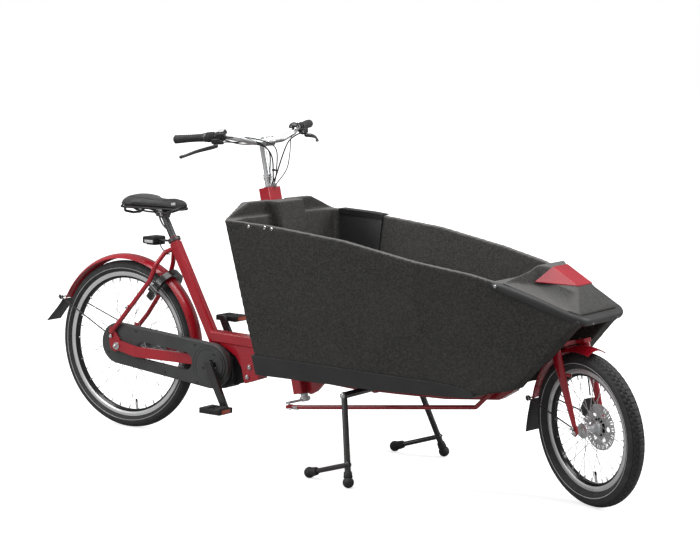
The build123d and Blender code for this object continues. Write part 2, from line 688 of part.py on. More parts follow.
def twist_shifter():
    """Ribbed gear ring between the right grip and its brake clamp."""
    ring = rod(bar_point(-0.15, side=-1), bar_point(0.10, side=-1), 19)
    return ring - rod(bar_point(-0.4, side=-1), bar_point(0.4, side=-1), 11.1 + RUNNING)


def bell():
    """Small dome on the left side of the bar."""
    centre = Vector(660, 125, 1194)
    dome = Pos(*centre) * (Sphere(20) & Pos(0, 0, 10) * Box(60, 60, 20))
    foot = Pos(centre.X, centre.Y, centre.Z - 6) * Cylinder(9, 13, align=CENTRED)
    return dome + foot - rod(BAR[2], BAR[3], 11.2)


def control_cables():
    """Brake, gear and light cables from the bar down to the head tube."""
    top = steer_point(REAR_STEER_X, 1000)
    runs = []
    for s, lead, drop in ((-1, 24, 0), (1, 24, 0), (-1, 32, 10), (1, 34, 12)):
        start = bar_point(-0.46, lift=-22 - drop / 2, ahead=22 + drop, side=s)
        middle = Vector(690 + lead, s * (50 + drop), 1158 + drop)
        bottom = Vector(top.X + lead, s * (4 + drop / 2), 1000)
        knee = Vector(706 + drop, s * (14 + drop), 1080)
        runs.append(curve([start, middle, knee, bottom], 2.4))
    return Compound(children=runs)


# --- front wheel mounting -------------------------------------------------------------------------
CALIPER_BOLTS = [(1988, 339), (1968, 305)]


def fork():
    """Steerer, crown plate, tapered legs with dropouts, and the linkage arm."""
    steerer = rod(steer_point(FRONT_STEER_X, 524), steer_point(FRONT_STEER_X, 668), STEERER_R)
    crown_plane = steer_plane(FRONT_STEER_X, 530)
    arch = Polygon((-22, -18), (-22, 18), (18, 78), (60, 78), (60, 46), (30, 30), (30, -30), (60, -46),
                   (60, -78), (18, -78), align=None)
    block = extrude(arch, 14, dir=(0, 0, 1))
    crown = crown_plane * (Pos(0, 0, -1) * fillet(block.edges().filter_by(Axis.Z), 6))
    arm_face = Circle(16) + Pos(0, -STEER_ARM) * Circle(12)
    arm_face += Pos(0, -STEER_ARM / 2) * Rectangle(22, STEER_ARM)
    arm = crown_plane * (Pos(0, 0, -2) * extrude(arm_face, 9))
    pin = crown_plane * (Pos(0, -STEER_ARM, -20) * Cylinder(4, 20, align=BASED))
    stations = [((1942, -63, 545), (14, 24)), ((1997, -63, 400), (10.5, 15)),
                ((2036, -60, 282), (6, 9.5))]
    leg = loft([Plane(origin=point, z_dir=(0.34, 0, -0.94), x_dir=(0, 1, 0)) * Ellipse(*radii)
                for point, radii in stations])
    tip = plate([(2028, 294), (2046, 290), (2054, 266), (2040, 250), (2026, 260)], -63, -57)
    boss = rod((1988, -56, 452), (1998, -42, 450), 6)
    leg += tip + boss
    lug = plate([(1978, 352), (2018, 360), (2032, 310), (1958, 294)], 58, 64)
    for x, z in CALIPER_BOLTS:
        lug -= across(x, z, 5, 50, 70)
    whole = steerer + crown + arm + pin + leg + mirrored(leg) + lug
    return whole - across(WHEELBASE, FRONT_RADIUS, 5.05, -80, 80)


def front_axle():
    axle = across(WHEELBASE, FRONT_RADIUS, 5, -72, 72)
    for s in (-1, 1):
        axle += nut(WHEELBASE, FRONT_RADIUS, 9, *sorted((s * 63.2, s * 71)))
        axle += Pos(WHEELBASE, s * 71, FRONT_RADIUS) * Sphere(6)
    return axle


def brake_caliper():
    """Disc caliper bolted behind the left leg, straddling the rotor."""
    body = Pos(1976, 44, 322) * Rot(0, 30, 0) * Box(32, 26, 58)
    body = fillet(body.edges().filter_by(Axis.Y), 6)
    gap = Pos(WHEELBASE, 42.4, FRONT_RADIUS) * (across(0, 0, 84, -2.4, 2.4))
    for x, z in CALIPER_BOLTS:
        body += across(x, z, 4.9, 50, 68)
    return body - gap


# --- stand ----------------------------------------------------------------------------------------
FRONT_FOOT = (1262.0, 318.0, 20.0)
REAR_FOOT = (1070.0, 278.0, 20.0)


def kickstand():
    """Two legs on one cross shaft, each with a branch to a second foot."""
    x, _, z = STAND_PIVOT
    shaft = across(x, z, 12, -233, 233)
    stand = shaft
    for s in (-1, 1):
        top = (x, s * 233, z)
        foot = (FRONT_FOOT[0], s * FRONT_FOOT[1], FRONT_FOOT[2])
        knee = Vector(*top) + (Vector(*foot) - Vector(*top)) * 0.80
        stand += rod(top, foot, 11) + Pos(*top) * Sphere(13)
        stand += rod(knee, (REAR_FOOT[0], s * REAR_FOOT[1], REAR_FOOT[2]), 9)
        stand += Pos(*knee) * Sphere(14)
        stand += rod((knee.X, s * 288, knee.Z), (knee.X, s * 324, knee.Z), 5)
    for s in (-1, 1):
        for foot in (FRONT_FOOT, REAR_FOOT):
            stand -= Pos(foot[0], s * foot[1], foot[2]) * Sphere(19.9)
    return stand


def kickstand_feet():
    """Four rubber balls at the ends of the legs."""
    feet = [Pos(x, s * y, z) * Sphere(20) for x, y, z in (FRONT_FOOT, REAR_FOOT) for s in (-1, 1)]
    return Compound(children=feet)


# --- cargo box ------------------------------------------------------------------------------------
# Cross-sections of the box along X: half widths at heights 300 and 980.
BOX_SECTIONS = [(680, 245, 356), (1500, 231, 353), (1600, 225, 322), (1700, 220, 287), (1800, 209, 244),
                (1937, 160, 223), (2070, 120, 200)]
RIM = [(726, 893.7), (915, 886), (1220, 858), (1555, 800), (1690, 778), (1785, 752), (2046, 648)]
BOX_REAR_TOP = (695, 946)
REAR_TOP_HALF, RIM_HALF = 203.0, 342.0
BOW = [(2050, 636), (2014, 604), (1937, 513), (1877, 445), (1830, 394)]
BOX_FLOOR = [(1697, 364), (1300, 348), (818, 343)]
INNER_FLOOR_Z = 376.0


def box_shell(grow, outline):
    """Tapered body of the box, wider than its outer face by grow, cut to an X-Z outline."""
    faces = []
    for x, low, high in BOX_SECTIONS:
        corners = [(-low - grow, 300), (low + grow, 300), (high + grow, 980), (-high - grow, 980)]
        section = Plane(origin=(x, 0, 0), x_dir=(0, 1, 0), z_dir=(1, 0, 0))
        faces.append(section * Polygon(*corners, align=None))
    body = loft(faces, ruled=True) & plate(outline, -400, 400)
    return corner_cut(body, grow)


def corner_cut(body, grow):
    """Slice off both rear corners along the sloping chamfer planes."""
    top = Vector(BOX_REAR_TOP[0], REAR_TOP_HALF, BOX_REAR_TOP[1])
    side, foot = Vector(RIM[0][0], RIM_HALF, RIM[0][1]), Vector(812, 250, 335)
    normal = (side - top).cross(foot - top).normalized()
    if normal.Y < 0:
        normal = normal * -1
    for s in (1, -1):
        n = Vector(normal.X, s * normal.Y, normal.Z)
        origin = Vector(top.X, s * top.Y, top.Z) + n * grow
        cutter = Plane(origin=origin, z_dir=n) * Box(1600, 1600, 600, align=BASED)
        body -= cutter
    return body


def column_channel(width, ahead, corner):
    """Upright block round the head tube, from well behind it to a distance ahead of its axis."""
    low, high = steer_point(REAR_STEER_X, 230), steer_point(REAR_STEER_X, 1050)
    back = 120.0
    shift = Vector((ahead - back) / 2 / cos(radians(RAKE)), 0, 0)
    return beam(low + shift, high + shift, width, ahead + back, corner)


def column_room():
    """Groove in the box's rear wall in which the head tube stands."""
    return column_channel(COLUMN_WIDTH + 24, 33, 6)


def column_bulge():
    """The rear wall's swelling into the box, ahead of the groove."""
    inside = [(706, 946), (800, 946), (930, 350), (824, 350)]
    return column_channel(170, 92, 22) & plate(inside, -400, 400)


def wheel_recess():
    """Room under the nose for the fork, the rod and the front wheel at full lock."""
    sweep_room = steer_plane(FRONT_STEER_X, 250) * Cone(264, 120, 246, align=BASED)
    outline = [(1590, 200), (1624, 332), (1661, 402), (1722, 493), (1786, 548), (1812, 600), (1830, 690),
               (1930, 690), (1975, 640), (2080, 620), (2080, 200)]
    return sweep_room + plate(outline, -102, 102)


def box_interior():
    outline = [(718, 1000), (840, INNER_FLOOR_Z), (1580, INNER_FLOOR_Z), (1632, 420), (1692, 512),
               (1750, 606), (1756, 740), (1772, 1000)]
    return box_shell(-WALL, outline)


def rim_slopes():
    """Wedges above the two rear corners, where the rim falls from the rear wall to the sides."""
    wedges = []
    for s in (1, -1):
        high = Vector(BOX_REAR_TOP[0], s * REAR_TOP_HALF, BOX_REAR_TOP[1])
        low = Vector(RIM[0][0], s * RIM_HALF, RIM[0][1])
        along = low - high
        inward = Vector(along.Y, -along.X, 0) * s
        up = along.cross(inward)
        up = up if up.Z > 0 else up * -1
        plane = Plane(origin=(high + low) / 2, x_dir=along, z_dir=up)
        wedges.append(plane * Box(along.length + 8, 170, 90, align=BASED))
    return wedges


def solid_tub():
    body = box_shell(0, [BOX_REAR_TOP, (RIM[0][0], BOX_REAR_TOP[1])] + RIM + BOW + BOX_FLOOR)
    for wedge in rim_slopes():
        body -= wedge
    return body


def cargo_box():
    """Moulded foam tub: sloping rim, cut rear corners, groove for the column, raised bow."""
    tub = solid_tub() - box_interior() + column_bulge() - column_room() - wheel_recess()
    for stud in stud_shanks(STUD_R + 0.05):
        tub -= stud
    return tub


def base_tray():
    """Smooth tray that cups the bottom of the box, ending in a rounded tip."""
    outline = [(790, 407), (1549, 398), (1620, 392), (1668, 384), (1696, 372), (1700, 364), (1690, 355),
               (1300, 339), (804, 335)]
    opening = plate([(1624, 332), (1661, 402), (1720, 402), (1720, 300), (1592, 300)], -102, 102)
    return box_shell(5, outline) - solid_tub() - column_room() - opening


NOSE_POINTS = {"a": (1792, -226, 754), "b": (2034, -132, 662), "c": (1852, -92, 808), "d": (1887, -52, 798),
               "e": (1983, -51, 743), "f": (1853, -112, 751), "s": (1966, -140, 690),
               "al": (1792, -226, 750), "bl": (2034, -132, 653.5)}


def both_sides(points):
    """Add the left-hand twin of each right-hand corner, named in capitals."""
    twins = {name.upper(): (x, -y, z) for name, (x, y, z) in points.items()}
    return {**points, **twins}


def nose_cap():
    """Faceted bonnet over the bow, with a hollow scoop on each side."""
    points = both_sides(NOSE_POINTS)
    half = [("a", "f", "c"), ("c", "f", "d"), ("d", "f", "e"), ("a", "s", "f"), ("f", "s", "e"),
            ("e", "s", "b"), ("a", "b", "s"), ("a", "al", "bl"), ("a", "bl", "b")]
    middle = [("c", "d", "D", "C"), ("d", "e", "E", "D"), ("e", "b", "B", "E"), ("b", "bl", "BL", "B"),
              ("al", "AL", "BL", "bl"), ("a", "c", "C", "A"), ("a", "A", "AL", "al")]
    twins = [tuple(name.upper() for name in reversed(face)) for face in half]
    return polyhedron(points, half + twins + middle)


def nose_panel():
    """Thin coloured panel on the bonnet's raised facets."""
    points = both_sides(NOSE_POINTS)
    panel = None
    for face in (("d", "e", "E", "D"), ("d", "f", "e"), ("D", "F", "E")):
        sheet = Face(Wire.make_polygon([Vector(*points[name]) for name in face], close=True))
        piece = extrude(sheet, 3, dir=(0, 0, 1))
        panel = piece if panel is None else panel + piece
    return panel


def nose_bumper():
    """Thick rounded edge round the bow."""
    line = [(1772, -244, 748), (2046, -150, 640), (2046, 150, 640), (1772, 244, 748)]
    path = FilletPolyline(*line, radius=45)
    roll = sweep(Plane(origin=path @ 0, z_dir=path % 0) * Ellipse(17, 17), path=path)
    for end in (line[0], line[-1]):
        roll += Pos(*end) * Sphere(17)
    roll = roll - solid_tub() - nose_cap()
    for stud in stud_shanks(STUD_R + 0.05):
        roll -= stud
    return roll


STUD_R = 3.5
# Position on the left side as (X, half width, Z), then the turn of the stud's axis away from Y.
STUD_PLACES = ((832, 338, 877, 0), (902, 338, 879, 0), (931, 338, 876, 0), (1783, 257, 745, 0),
               (2061, 90, 632, 90))


def stud_shanks(r):
    """Cylinders across the box's walls at the studs, on both sides."""
    return [Pos(x, s * half, z) * Rot(0, 0, s * turn) * Rot(90, 0, 0) * Cylinder(r, 8, align=CENTRED)
            for x, half, z, turn in STUD_PLACES for s in (1, -1)]


def box_studs():
    """Chrome snap studs on both sides of the box."""
    return Compound(children=stud_shanks(STUD_R))


def side_panel():
    """Black panel hung over the left wall of the box."""
    span = [(822, 560), (974, 560), (974, 872), (778, 884)]
    inside = [(600, 500), (1100, 500), (1100, 1000), (600, 1000)]
    sheet = box_shell(-WALL - 0.4, span) - box_shell(-WALL - 7, inside)
    sheet = sheet & (Pos(870, 340, 700) * Box(208, 200, 500))
    hook = plate([(778, 892.2), (915, 886.6), (974, 881.4), (974, 886), (915, 891.2), (778, 896.8)],
                 298, 346)
    drop = plate([(778, 878), (974, 866), (974, 884), (778, 894)], 298, 306)
    return sheet + hook + drop


# --- export ---------------------------------------------------------------------------------------
def rear(part):
    return turned_to_rest(part, REAR_STEER_X)


def front(part):
    return turned_to_rest(part, FRONT_STEER_X)


def rod_at_rest():
    """The rod shifts sideways and back with the arms, without turning."""
    swing = radians(STEER_AT_REST)
    back = STEER_ARM * sin(swing)
    lean = radians(RAKE)
    return Pos(back * cos(lean), STEER_ARM * (1 - cos(swing)), back * sin(lean)) * steering_rod()


def guards():
    """Both mudguards with their flaps and stays."""
    rear_guard = arc_guard(REAR_AXLE, 356, 33, 16, 2.2, 4, 154.5)
    front_guard = arc_guard(FRONT_AXLE, 285, 37, 15, 2.2, 80, 168)
    return {
        "rear_mudguard": rear_guard,
        "rear_flap": guard_flap(REAR_AXLE, 353, 155, 172, 48, 31, 8),
        "rear_guard_stays": guard_stays(REAR_AXLE, 361, 154, 36, 78.5, (-26, 366)),
        "front_mudguard": front(front_guard),
        "front_flap": front(guard_flap(FRONT_AXLE, 282, 168.6, 192, 24, 34, 8)),
        "front_guard_stays": front(guard_stays(FRONT_AXLE, 289, 168, 39, 66, (2034, 280))),
    }


def build():
    right_end = polar(BB, CRANK_LENGTH, CRANK_ANGLE)
    left_end = polar(BB, CRANK_LENGTH, CRANK_ANGLE + 180)
    parts = {
        "main_frame": main_frame(), "headset_cups": headset_cups(), "seat_collar": seat_collar(),
        "motor_housing": motor_housing(), "mount_bolts": mount_bolts(), "chain_case": chain_case(),
        "chain": chain(), "rear_axle": rear_axle(), "roller_brake": roller_brake(),
        "ring_lock": ring_lock(), "rear_light": rear_light(), "rear_light_lens": rear_light_lens(),
        "cargo_box": cargo_box(), "base_tray": base_tray(), "nose_cap": nose_cap(),
        "nose_panel": nose_panel(), "nose_bumper": nose_bumper(), "box_studs": box_studs(),
        "side_panel": side_panel(),
        "rear_tyre": tyre(REAR_AXLE, REAR_RADIUS, REAR_TYRE_WIDTH, REAR_BEAD),
        "rear_rim": rim(REAR_AXLE, REAR_BEAD),
        "rear_spokes": spokes(REAR_AXLE, 47, 30.5, REAR_BEAD - 14),
        "rear_hub": rear_hub(), "rear_sprocket": rear_sprocket(),
        "steering_column": rear(steering_column()), "stem": rear(stem()), "handlebar": rear(handlebar()),
        "grips": rear(grips()), "lever_clamps": rear(perches()), "bell": rear(bell()),
        "control_cables": rear(control_cables()),
        "brake_lever_left": rear(brake_lever(1)), "brake_lever_right": rear(brake_lever(-1)),
        "twist_shifter": rear(twist_shifter()), "steering_rod": rod_at_rest(),
        "fork": front(fork()), "front_axle": front(front_axle()), "brake_caliper": front(brake_caliper()),
        "front_tyre": front(tyre(FRONT_AXLE, FRONT_RADIUS, FRONT_TYRE_WIDTH, FRONT_BEAD)),
        "front_rim": front(rim(FRONT_AXLE, FRONT_BEAD)),
        "front_spokes": front(spokes(FRONT_AXLE, 22, 27.5, FRONT_BEAD - 14)),
        "front_hub": front(front_hub()), "brake_rotor": front(brake_rotor()),
        "crank_arms": crank_arms(), "chainring": chainring(),
        "pedal_right": pedal(right_end[0], right_end[2], -1),
        "pedal_left": pedal(left_end[0], left_end[2], 1),
        "kickstand": kickstand(), "kickstand_feet": kickstand_feet(),
        "seat_post": seat_post(), "saddle_rails": saddle_rails(), "saddle": saddle(),
    }
    parts.update(guards())
    return parts


os.makedirs("parts", exist_ok=True)
for name, part in build().items():
    export_step(Pos(-ORIGIN_X, 0, 0) * part, f"parts/{name}.step")
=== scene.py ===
"""Looks of the cargo bicycle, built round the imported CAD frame."""

import json
import math

import bmesh
import bpy
from mathutils import Matrix, Vector


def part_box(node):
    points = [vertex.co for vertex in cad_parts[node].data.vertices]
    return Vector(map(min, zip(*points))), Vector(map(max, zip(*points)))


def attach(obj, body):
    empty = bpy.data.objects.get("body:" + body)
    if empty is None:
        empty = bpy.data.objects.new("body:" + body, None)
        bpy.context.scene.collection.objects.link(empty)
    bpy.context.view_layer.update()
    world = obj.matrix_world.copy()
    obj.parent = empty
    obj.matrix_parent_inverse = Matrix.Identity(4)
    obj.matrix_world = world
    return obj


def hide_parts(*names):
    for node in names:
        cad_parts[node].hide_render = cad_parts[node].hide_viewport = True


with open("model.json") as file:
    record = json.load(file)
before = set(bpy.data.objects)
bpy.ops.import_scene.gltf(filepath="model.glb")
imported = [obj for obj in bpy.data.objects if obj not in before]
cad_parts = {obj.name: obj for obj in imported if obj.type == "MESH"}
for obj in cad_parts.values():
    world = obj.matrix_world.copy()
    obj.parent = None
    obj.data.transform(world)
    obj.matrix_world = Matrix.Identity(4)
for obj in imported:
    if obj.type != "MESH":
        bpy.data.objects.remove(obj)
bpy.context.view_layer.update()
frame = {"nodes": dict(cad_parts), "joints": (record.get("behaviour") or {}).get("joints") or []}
NODES = frame["nodes"]
JOINTS = {joint["name"]: joint for joint in frame["joints"]}

STEER_AT_REST = math.radians(-24.5)     # the bicycle rests with its front wheel turned right
REAR_AXLE_X = 938.0                     # the row's origin is this far ahead of the rear axle, in mm


def P(x, y, z):
    """A point given in millimetres, with X measured from the rear axle."""
    return Vector((x - REAR_AXLE_X, y, z)) / 1000


def steer_turn(joint):
    """Matrix that turns a piece built straight ahead to the rest pose of a steering joint."""
    pivot, axis = Vector(JOINTS[joint]["pos_m"]), Vector(JOINTS[joint]["axis"])
    turn = Matrix.Rotation(STEER_AT_REST, 4, axis)
    return Matrix.Translation(pivot) @ turn @ Matrix.Translation(-pivot)


BAR_TURN = steer_turn("steering_turn")
FORK_TURN = steer_turn("fork_turn")


# --- materials ------------------------------------------------------------------------------------
class Shader:
    """One Principled material put together from small node helpers."""

    def __init__(self, name, slot=None):
        self.mat = bpy.data.materials.new(name)
        self.mat.use_nodes = True
        self.tree = self.mat.node_tree
        self.bsdf = self.tree.nodes["Principled BSDF"]
        self.coords = self.node("ShaderNodeTexCoord").outputs["Object"]

    def node(self, kind, inputs=None, **props):
        made = self.tree.nodes.new(kind)
        for key, value in props.items():
            setattr(made, key, value)
        for key, value in (inputs or {}).items():
            self.put(made.inputs[key], value)
        return made

    def put(self, socket, value):
        if isinstance(value, bpy.types.NodeSocket):
            self.tree.links.new(value, socket)
        elif value is not None:
            if socket.type == "RGBA" and len(value) == 3:
                value = (*value, 1.0)
            socket.default_value = value

    def set(self, **sockets):
        names = {"color": "Base Color", "rough": "Roughness", "metal": "Metallic", "coat": "Coat Weight",
                 "coat_rough": "Coat Roughness", "normal": "Normal", "sheen": "Sheen Weight",
                 "specular": "Specular IOR Level"}
        for key, value in sockets.items():
            self.put(self.bsdf.inputs[names[key]], value)
        return self

    def noise(self, scale, detail=3.0, rough=0.55, at=None):
        return self.node("ShaderNodeTexNoise", {"Vector": at or self.coords, "Scale": scale,
                                                "Detail": detail, "Roughness": rough}).outputs["Fac"]

    def cells(self, scale, feature="F1", output="Distance", at=None):
        return self.node("ShaderNodeTexVoronoi", {"Vector": at or self.coords, "Scale": scale},
                         feature=feature).outputs[output]

    def ramp(self, value, low, high, to_low=0.0, to_high=1.0):
        return self.node("ShaderNodeMapRange", {"Value": value, "From Min": low, "From Max": high,
                                                "To Min": to_low, "To Max": to_high}).outputs["Result"]

    def math(self, operation, a, b=0.0):
        made = self.node("ShaderNodeMath", operation=operation)
        self.put(made.inputs[0], a)
        self.put(made.inputs[1], b)
        return made.outputs[0]

    def mix(self, share, a, b):
        made = self.node("ShaderNodeMix", data_type="RGBA")
        self.put(made.inputs[0], share)
        self.put(made.inputs[6], a)
        self.put(made.inputs[7], b)
        return made.outputs[2]

    def bump(self, height, depth, strength=1.0, normal=None):
        return self.node("ShaderNodeBump", {"Height": height, "Distance": depth, "Strength": strength,
                                            "Normal": normal}).outputs["Normal"]

    def stretched(self, *scale):
        """The coordinates, scaled along each axis."""
        return self.node("ShaderNodeMapping", {"Vector": self.coords, "Scale": scale}).outputs["Vector"]

    def soft_edges(self, radius):
        """(normal with rounded edges, mask that is 1 on the edges)."""
        rounded = self.node("ShaderNodeBevel", {"Radius": radius}, samples=4).outputs["Normal"]
        true = self.node("ShaderNodeNewGeometry").outputs["Normal"]
        dot = self.node("ShaderNodeVectorMath", {0: rounded, 1: true}, operation="DOT_PRODUCT")
        return rounded, self.ramp(dot.outputs["Value"], 0.995, 0.80)

    def facing_up(self, low=0.5, high=0.9):
        true = self.node("ShaderNodeNewGeometry").outputs["Normal"]
        return self.ramp(self.node("ShaderNodeSeparateXYZ", {0: true}).outputs["Z"], low, high)

    def radius_from(self, point):
        far = self.node("ShaderNodeVectorMath", {0: self.coords, 1: tuple(point)}, operation="DISTANCE")
        return far.outputs["Value"]


def painted(name, slot, dark, light, coat_rough=0.05):
    """Lacquered steel: slight orange peel, drifting colour, worn and dusty spots on the edges."""
    s = Shader(name, slot)
    rounded, edge = s.soft_edges(0.0016)
    tone = s.mix(s.ramp(s.noise(3.5), 0.35, 0.65), dark, light)
    flake = s.mix(s.ramp(s.cells(1900, output="Color"), 0.7, 1.0, 0.0, 0.10), tone, (0.9, 0.5, 0.5))
    wear = s.math("MULTIPLY", edge, s.ramp(s.noise(60), 0.62, 0.70))
    chipped = s.mix(s.math("MULTIPLY", wear, 0.55), flake, (0.30, 0.26, 0.25))
    peel = s.bump(s.noise(420, 1.0), 0.00005, 0.35, rounded)
    s.set(color=chipped, rough=s.ramp(s.noise(25), 0.3, 0.7, 0.24, 0.36), coat=0.9, normal=peel,
          coat_rough=s.ramp(s.noise(14), 0.35, 0.7, coat_rough, coat_rough + 0.06))
    s.put(s.bsdf.inputs["Coat Normal"], peel)
    return s.mat


def plastic(name, slot, color, rough, grain=900.0, depth=0.00012, edge_light=2.2, coat=0.0, radius=0.0014):
    """Moulded plastic: pebbled skin, blotchy sheen, edges painted paler as a highlight."""
    s = Shader(name, slot)
    rounded, edge = s.soft_edges(radius)
    darker = tuple(0.72 * c for c in color)
    tone = s.mix(s.ramp(s.noise(9), 0.35, 0.7), darker, color)
    # painted highlight: the edges are mixed towards a paler copy of the colour
    highlighted_tone = s.mix(s.math("MULTIPLY", edge, s.ramp(s.noise(45), 0.35, 0.65, 0.25, 0.8)), tone,
                   tuple(min(1.0, edge_light * c + 0.01) for c in color))
    scuff = s.ramp(s.noise(1.0, 6.0, 0.7, s.stretched(40, 40, 9)), 0.58, 0.75, 0.0, 0.10)
    skin = s.bump(s.cells(grain, "SMOOTH_F1"), depth, 0.8,
                  s.bump(s.noise(grain * 2.6), depth * 0.5, 0.5, rounded))
    s.set(color=highlighted_tone, rough=s.math("ADD", s.ramp(s.noise(30), 0.3, 0.7, rough - 0.06, rough + 0.06), scuff),
          normal=skin, coat=coat, coat_rough=0.15)
    return s.mat


def metal(name, slot, color, rough, brush=(900, 40, 900), metallic=1.0, grime=0.25):
    """Bare metal: brushed lines, fingerprints, a little grey bloom in random patches, and edges painted
    brighter as a highlight.
    """
    s = Shader(name, slot)
    rounded, edge = s.soft_edges(0.0009)
    lines = s.noise(1.0, 2.0, 0.5, s.stretched(*brush))
    tone = s.mix(s.ramp(lines, 0.3, 0.7), tuple(0.86 * c for c in color), color)
    bloom = s.ramp(s.noise(22, 5.0), 0.5, 0.8, 0.0, grime)
    dulled = s.mix(bloom, tone, tuple(0.55 * c for c in color))
    # painted highlight: the edges are mixed towards a brighter copy of the colour
    edge_highlighted = s.mix(s.math("MULTIPLY", edge, 0.5), dulled, tuple(min(1.0, 1.15 * c) for c in color))
    s.set(color=edge_highlighted, metal=metallic, rough=s.ramp(lines, 0.25, 0.75, rough * 0.75, rough * 1.35),
          normal=s.bump(lines, 0.00002, 0.4, rounded))
    return s.mat


def two_tone(name, slot, centre, split, inner, outer, rough_in, rough_out, metal_in, metal_out):
    """Turned metal ring whose finish changes at a radius: machined lines run round the wheel."""
    s = Shader(name, slot)
    rounded, _ = s.soft_edges(0.0008)
    r = s.radius_from(centre)
    outside = s.ramp(r, split - 0.0003, split + 0.0003)
    rings = s.node("ShaderNodeTexNoise", {"W": s.math("MULTIPLY", r, 2600.0), "Scale": 1.0, "Detail": 2.0},
                   noise_dimensions="1D").outputs["Fac"]
    smudge = s.ramp(s.noise(18, 5.0), 0.45, 0.8, 0.0, 0.35)
    tone = s.mix(outside, inner, outer)
    worn = s.mix(smudge, tone, s.mix(outside, tuple(0.6 * c for c in inner), tuple(0.62 * c for c in outer)))
    rough = s.math("ADD", s.ramp(outside, 0, 1, rough_in, rough_out), s.ramp(rings, 0.3, 0.7, -0.05, 0.07))
    s.set(color=worn, rough=rough, metal=s.ramp(outside, 0, 1, metal_in, metal_out),
          normal=s.bump(rings, 0.00003, 0.5, rounded))
    return s.mat


def rubber(name, slot, color, rough=0.62, grain=700.0, depth=0.0001, dust=0.25):
    """Vulcanised rubber: fine pores, bloom and dust in random blotches, and edges painted paler as a
    highlight.
    """
    s = Shader(name, slot)
    rounded, edge = s.soft_edges(0.0010)
    dirt = s.ramp(s.noise(35, 6.0, 0.65), 0.48, 0.75, 0.0, dust)
    # dust in noise blotches, and a painted highlight that makes the edges paler
    tone = s.mix(s.math("MAXIMUM", dirt, s.math("MULTIPLY", edge, 0.30)), color, (0.13, 0.125, 0.12))
    s.set(color=tone, rough=s.ramp(s.noise(60), 0.3, 0.7, rough - 0.07, rough + 0.10),
          normal=s.bump(s.noise(grain, 4.0, 0.7), depth, 0.7, rounded), sheen=0.08)
    return s.mat


def foam(name, slot, low, high, rim):
    """Expanded bead foam: polygonal beads of slightly different greys with dark joints; faces that point up
    are paler, partly from wear and partly as painted light from above.
    """
    s = Shader(name, slot)
    beads = s.cells(235, output="Color")
    shade = s.node("ShaderNodeSeparateColor", {0: beads}).outputs["Red"]
    joints = s.cells(235, "DISTANCE_TO_EDGE")
    fine = s.noise(1500, 3.0)
    mottled = s.mix(s.ramp(s.noise(5, 4.0), 0.3, 0.7, 0.0, 0.35), low, high)
    tone = s.mix(s.ramp(shade, 0.15, 0.95, 0.0, 0.85), mottled, high)
    tone = s.mix(s.ramp(fine, 0.62, 0.78, 0.0, 0.45), tone, tuple(2.3 * c for c in high))
    tone = s.mix(s.ramp(joints, 0.0, 0.10, 0.55, 0.0), tone, tuple(0.45 * c for c in low))
    # upward faces mixed towards the pale rim colour: partly wear, partly painted light from above
    tone = s.mix(s.math("MULTIPLY", s.facing_up(0.55, 0.93), 0.75), tone, rim)
    up = s.math("ADD", s.ramp(joints, 0.0, 0.16), s.math("MULTIPLY", fine, 0.35))
    s.set(color=tone, rough=s.ramp(s.noise(40), 0.3, 0.7, 0.58, 0.72), specular=0.42,
          normal=s.bump(up, 0.00040, 0.75, s.bump(s.noise(14, 3.0), 0.0015, 0.25)))
    return s.mat


def leather(name, slot, color):
    """Grained saddle cover: small cells, creases, and a painted sheen that makes the top paler."""
    s = Shader(name, slot)
    grain = s.cells(650, "SMOOTH_F1")
    creases = s.ramp(s.noise(110, 5.0, 0.6), 0.46, 0.54)
    tone = s.mix(s.ramp(grain, 0.1, 0.6), tuple(0.6 * c for c in color), color)
    # painted sheen: faces that point up are mixed towards a paler copy of the colour
    highlighted_tone = s.mix(s.math("MULTIPLY", s.facing_up(0.3, 0.95), 0.35), tone, tuple(2.1 * c for c in color))
    height = s.math("ADD", grain, s.math("MULTIPLY", creases, 0.4))
    s.set(color=highlighted_tone, rough=s.ramp(s.noise(20), 0.3, 0.7, 0.42, 0.58), sheen=0.15,
          normal=s.bump(height, 0.00022, 0.8))
    return s.mat


def lens(name, slot, color):
    """Moulded lens with a prism pattern behind a clear skin."""
    s = Shader(name, slot)
    prisms = s.cells(330)
    tone = s.mix(s.ramp(prisms, 0.0, 0.6), tuple(min(1.0, 1.5 * c + 0.05) for c in color), color)
    s.set(color=tone, rough=0.22, coat=1.0, coat_rough=0.03, normal=s.bump(prisms, 0.0006, 0.8))
    return s.mat


RED = painted("red_lacquer", "frame_paint", (0.37, 0.002, 0.011), (0.50, 0.004, 0.019))
BLACK_COAT = painted("black_coat", "black_metal", (0.012, 0.012, 0.013), (0.020, 0.020, 0.021), 0.22)
CASE = plastic("case_plastic", "black_plastic", (0.072, 0.073, 0.074), 0.44, 800, 0.00010)
BLACK_PLASTIC = plastic("black_moulding", "black_plastic", (0.022, 0.022, 0.023), 0.42)
GLOSS_BLACK = plastic("gloss_moulding", "gloss_black", (0.014, 0.014, 0.015), 0.22, 1500, 0.00004, 2.0, 0.6)
TRAY = plastic("tray_plastic", "tray_plastic", (0.038, 0.038, 0.038), 0.46, 1300, 0.00008, radius=0.003)
BUMPER = plastic("bumper_skin", "bumper_rubber", (0.050, 0.050, 0.050), 0.50, 1500, 0.00008, 1.8)
PANEL_RED = plastic("red_panel", "red_panel", (0.52, 0.012, 0.030), 0.36, 1300, 0.00006, 1.3, 0.4)
FOAM = foam("bead_foam", "foam", (0.022, 0.021, 0.019), (0.072, 0.070, 0.066), (0.165, 0.162, 0.156))
CAP_FOAM = foam("cap_foam", "foam", (0.050, 0.049, 0.047), (0.105, 0.104, 0.100), (0.150, 0.148, 0.143))
TYRE = rubber("tyre_rubber", "tyre", (0.026, 0.026, 0.027), 0.60)
SOFT = rubber("soft_rubber", "rubber", (0.020, 0.020, 0.021), 0.60, 1100)
